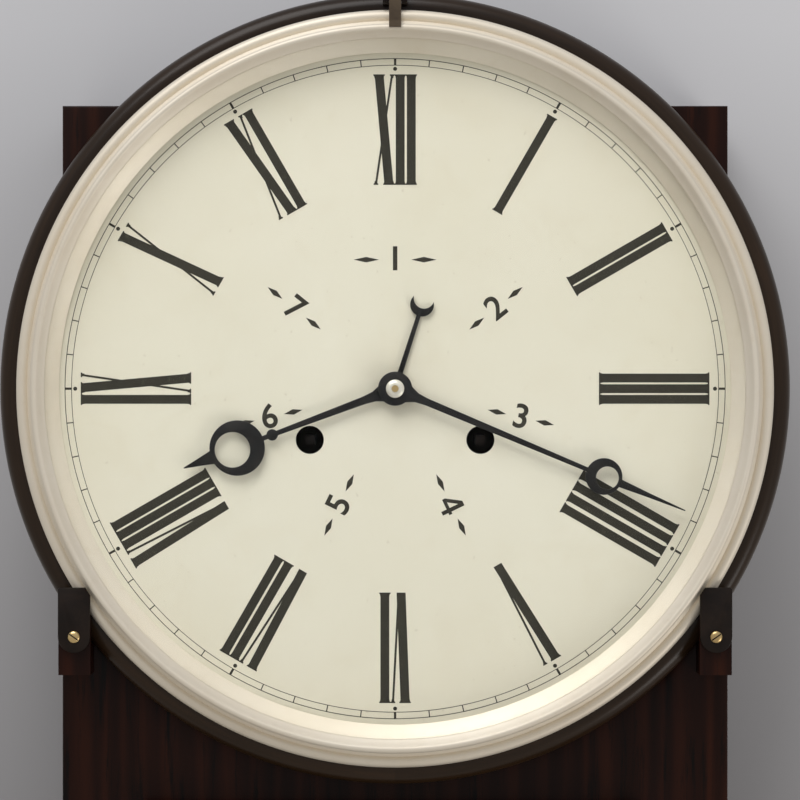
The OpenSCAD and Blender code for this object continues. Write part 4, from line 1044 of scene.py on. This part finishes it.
def gong():
    """A coil of flat wire with blunt edges, on its block."""
    blunt, flat = 0.5, 0.36  # shares of the wire's width
    section = [(-blunt, -flat), (-flat, -blunt), (flat, -blunt), (blunt, -flat)]
    section += [(-u, -v) for u, v in section]
    count = GONG_TURNS * 72
    bm = bmesh.new()
    rows = []
    for k in range(count + 1):
        c, s = unit(360.0 * GONG_TURNS * k / count)
        r = GONG_R0 + (GONG_R1 - GONG_R0) * k / count
        row = []
        for u, v in section:
            out = r + GONG_WIRE * u
            row.append(bm.verts.new(point(out * c, GONG_Y + out * s, GONG_Z + GONG_WIRE * v)))
        rows.append(row)
    bridge(bm, rows)
    bm.faces.new(rows[0])
    bm.faces.new(rows[-1])
    block = [(0.0001, GONG.z1), (6.0, GONG.z1), (8.4, GONG.z1 - 0.4), (9.0, GONG.z1 - 1.0)]
    block += [(9.0, 10.0), (3.0, 10.0), (3.0, GONG.z0), (0.0001, GONG.z0)]
    lathe(bm, block, turned_at(0, GONG_Y), 64, closed=False)
    link("coil_gong", bm, GONG_STEEL, "case", smooth=32, replaced=("gong",))


# Wall, floor and room, in metres

WALL_Y = 0.0006  # just behind the clock's back
FLOOR_Z, WALL_TOP = -1.9, 2.2
HALF_WIDTH = 3.0
FLOOR_FRONT, FLOOR_BACK = -4.0, 1.5
WALL_SHADE_FADE = (-0.36, 0.03)  # heights between which the wall turns from its low colour, which is painted shade, to its high colour


def stage_material(name, colour, low=None):
    """Paint that only the camera and glass see, and only from its front. It can fade down to a darker low
    colour, which is painted shade.
    """
    n = Nodes(name)
    if low:
        colour = n.mix(n.remap(n.split(n.coords())[2], 0.0, 1.0, *WALL_SHADE_FADE), low, colour)
    n.set(Base_Color=colour, Roughness=0.9, Specular_IOR_Level=0.1)
    behind = n.new("ShaderNodeNewGeometry").outputs["Backfacing"]
    path = n.new("ShaderNodeLightPath")
    seen = n.math("MAXIMUM", path.outputs["Is Camera Ray"], path.outputs["Is Transmission Ray"])
    hide = n.new("ShaderNodeMixShader")
    n.join(n.math("MAXIMUM", behind, n.math("SUBTRACT", 1.0, seen)), hide.inputs[0])
    n.join(n.bsdf.outputs[0], hide.inputs[1])
    n.join(n.new("ShaderNodeBsdfTransparent").outputs[0], hide.inputs[2])
    n.join(hide.outputs[0], n.tree.nodes["Material Output"].inputs["Surface"])
    return n.mat


def stage_quad(name, near, far, mat):
    """A rectangle as wide as the room. near and far are the y and z of its two long edges."""
    corners = [(-HALF_WIDTH, *near), (HALF_WIDTH, *near), (HALF_WIDTH, *far), (-HALF_WIDTH, *far)]
    mesh = bpy.data.meshes.new(name)
    mesh.from_pydata(corners, [], [(0, 1, 2, 3)])
    mesh.materials.append(mat)
    ob = bpy.data.objects.new(name, mesh)
    bpy.context.collection.objects.link(ob)


def stage():
    # the wall's low colour is painted shade: the wall turns darker towards the floor
    wall_paint = stage_material("wall_paint", (0.72, 0.722, 0.745), low=(0.42, 0.412, 0.42))
    floor_paint = stage_material("floor_paint", (0.62, 0.61, 0.60))
    stage_quad("wall", (WALL_Y, FLOOR_Z), (WALL_Y, WALL_TOP), wall_paint)
    stage_quad("floor", (FLOOR_FRONT, FLOOR_Z), (FLOOR_BACK, FLOOR_Z), floor_paint)


def room():
    """A soft room light, warmer from below and cooler from above."""
    world = bpy.data.worlds.new("room")
    bpy.context.scene.world = world
    world.use_nodes = True
    tree = world.node_tree
    background = tree.nodes["Background"]
    background.inputs["Strength"].default_value = 0.64
    direction = tree.nodes.new("ShaderNodeTexCoord")
    split = tree.nodes.new("ShaderNodeSeparateXYZ")
    height = tree.nodes.new("ShaderNodeMapRange")
    height.inputs["From Min"].default_value = -1.0
    height.inputs["From Max"].default_value = 1.0
    tint = tree.nodes.new("ShaderNodeValToRGB")
    stops = ((0.25, (0.66, 0.63, 0.59, 1)), (0.85, (0.76, 0.78, 0.82, 1)))
    for element, (at, colour) in zip(tint.color_ramp.elements, stops):
        element.position = at
        element.color = colour
    tree.links.new(direction.outputs["Generated"], split.inputs[0])
    tree.links.new(split.outputs[2], height.inputs["Value"])
    tree.links.new(height.outputs["Result"], tint.inputs["Fac"])
    tree.links.new(tint.outputs["Color"], background.inputs["Color"])


def lamp(name, at, to, size, power, colour):
    light = bpy.data.lights.new(name, "AREA")
    light.shape = "SQUARE"
    light.size = size
    light.energy = power
    light.color = colour
    ob = bpy.data.objects.new(name, light)
    bpy.context.collection.objects.link(ob)
    ob.location = at
    ob.rotation_mode = "QUATERNION"
    ob.rotation_quaternion = (Vector(to) - Vector(at)).to_track_quat("-Z", "Y")


# Camera, in metres

VIEW_DISTANCE = 2.0  # from the camera to the dial's face
VIEW_WIDTH = 0.3752  # what the picture shows across at the dial's face
VIEW_X, VIEW_Z = 0.0023, -0.1553  # what the picture's middle shows


def add_camera():
    lens = bpy.data.cameras.new("camera")
    lens.sensor_width = 36.0
    lens.lens = lens.sensor_width * VIEW_DISTANCE / VIEW_WIDTH
    lens.dof.use_dof = False
    lens.clip_start = 0.01
    lens.clip_end = 30
    camera = bpy.data.objects.new("camera", lens)
    bpy.context.collection.objects.link(camera)
    bpy.context.scene.camera = camera
    camera.location = (VIEW_X, -DIAL_Z * MM - VIEW_DISTANCE, VIEW_Z)
    camera.rotation_euler = (math.radians(90), 0, 0)


finish_nodes()
bezel()
sight_ring()
surround()
case_boards()
front_board()
base_moulding()
door_bars("door_stiles", (1, 3), WOOD_V, replaced=("door_frame",))
door_bars("door_rails", (0, 2), WOOD_H)
door_knob()
numerals()
minute_track()
day_labels()
hands()
hand_nut()
screws()
catch(-1, "left")
catch(1, "right")
bob()
rating_nut()
gong()
stage()
room()
lamp("window", at=(-0.6, -1.38, 1.82), to=(0, -0.1, -0.15), size=1.5, power=28.0, colour=(1.0, 0.985, 0.97))
lamp("bounce", at=(1.8, -1.25, -1.6), to=(0, -0.1, -0.2), size=1.0, power=12.0, colour=(1.0, 0.972, 0.94))
add_camera()
bpy.context.scene.view_settings.view_transform = "Standard"
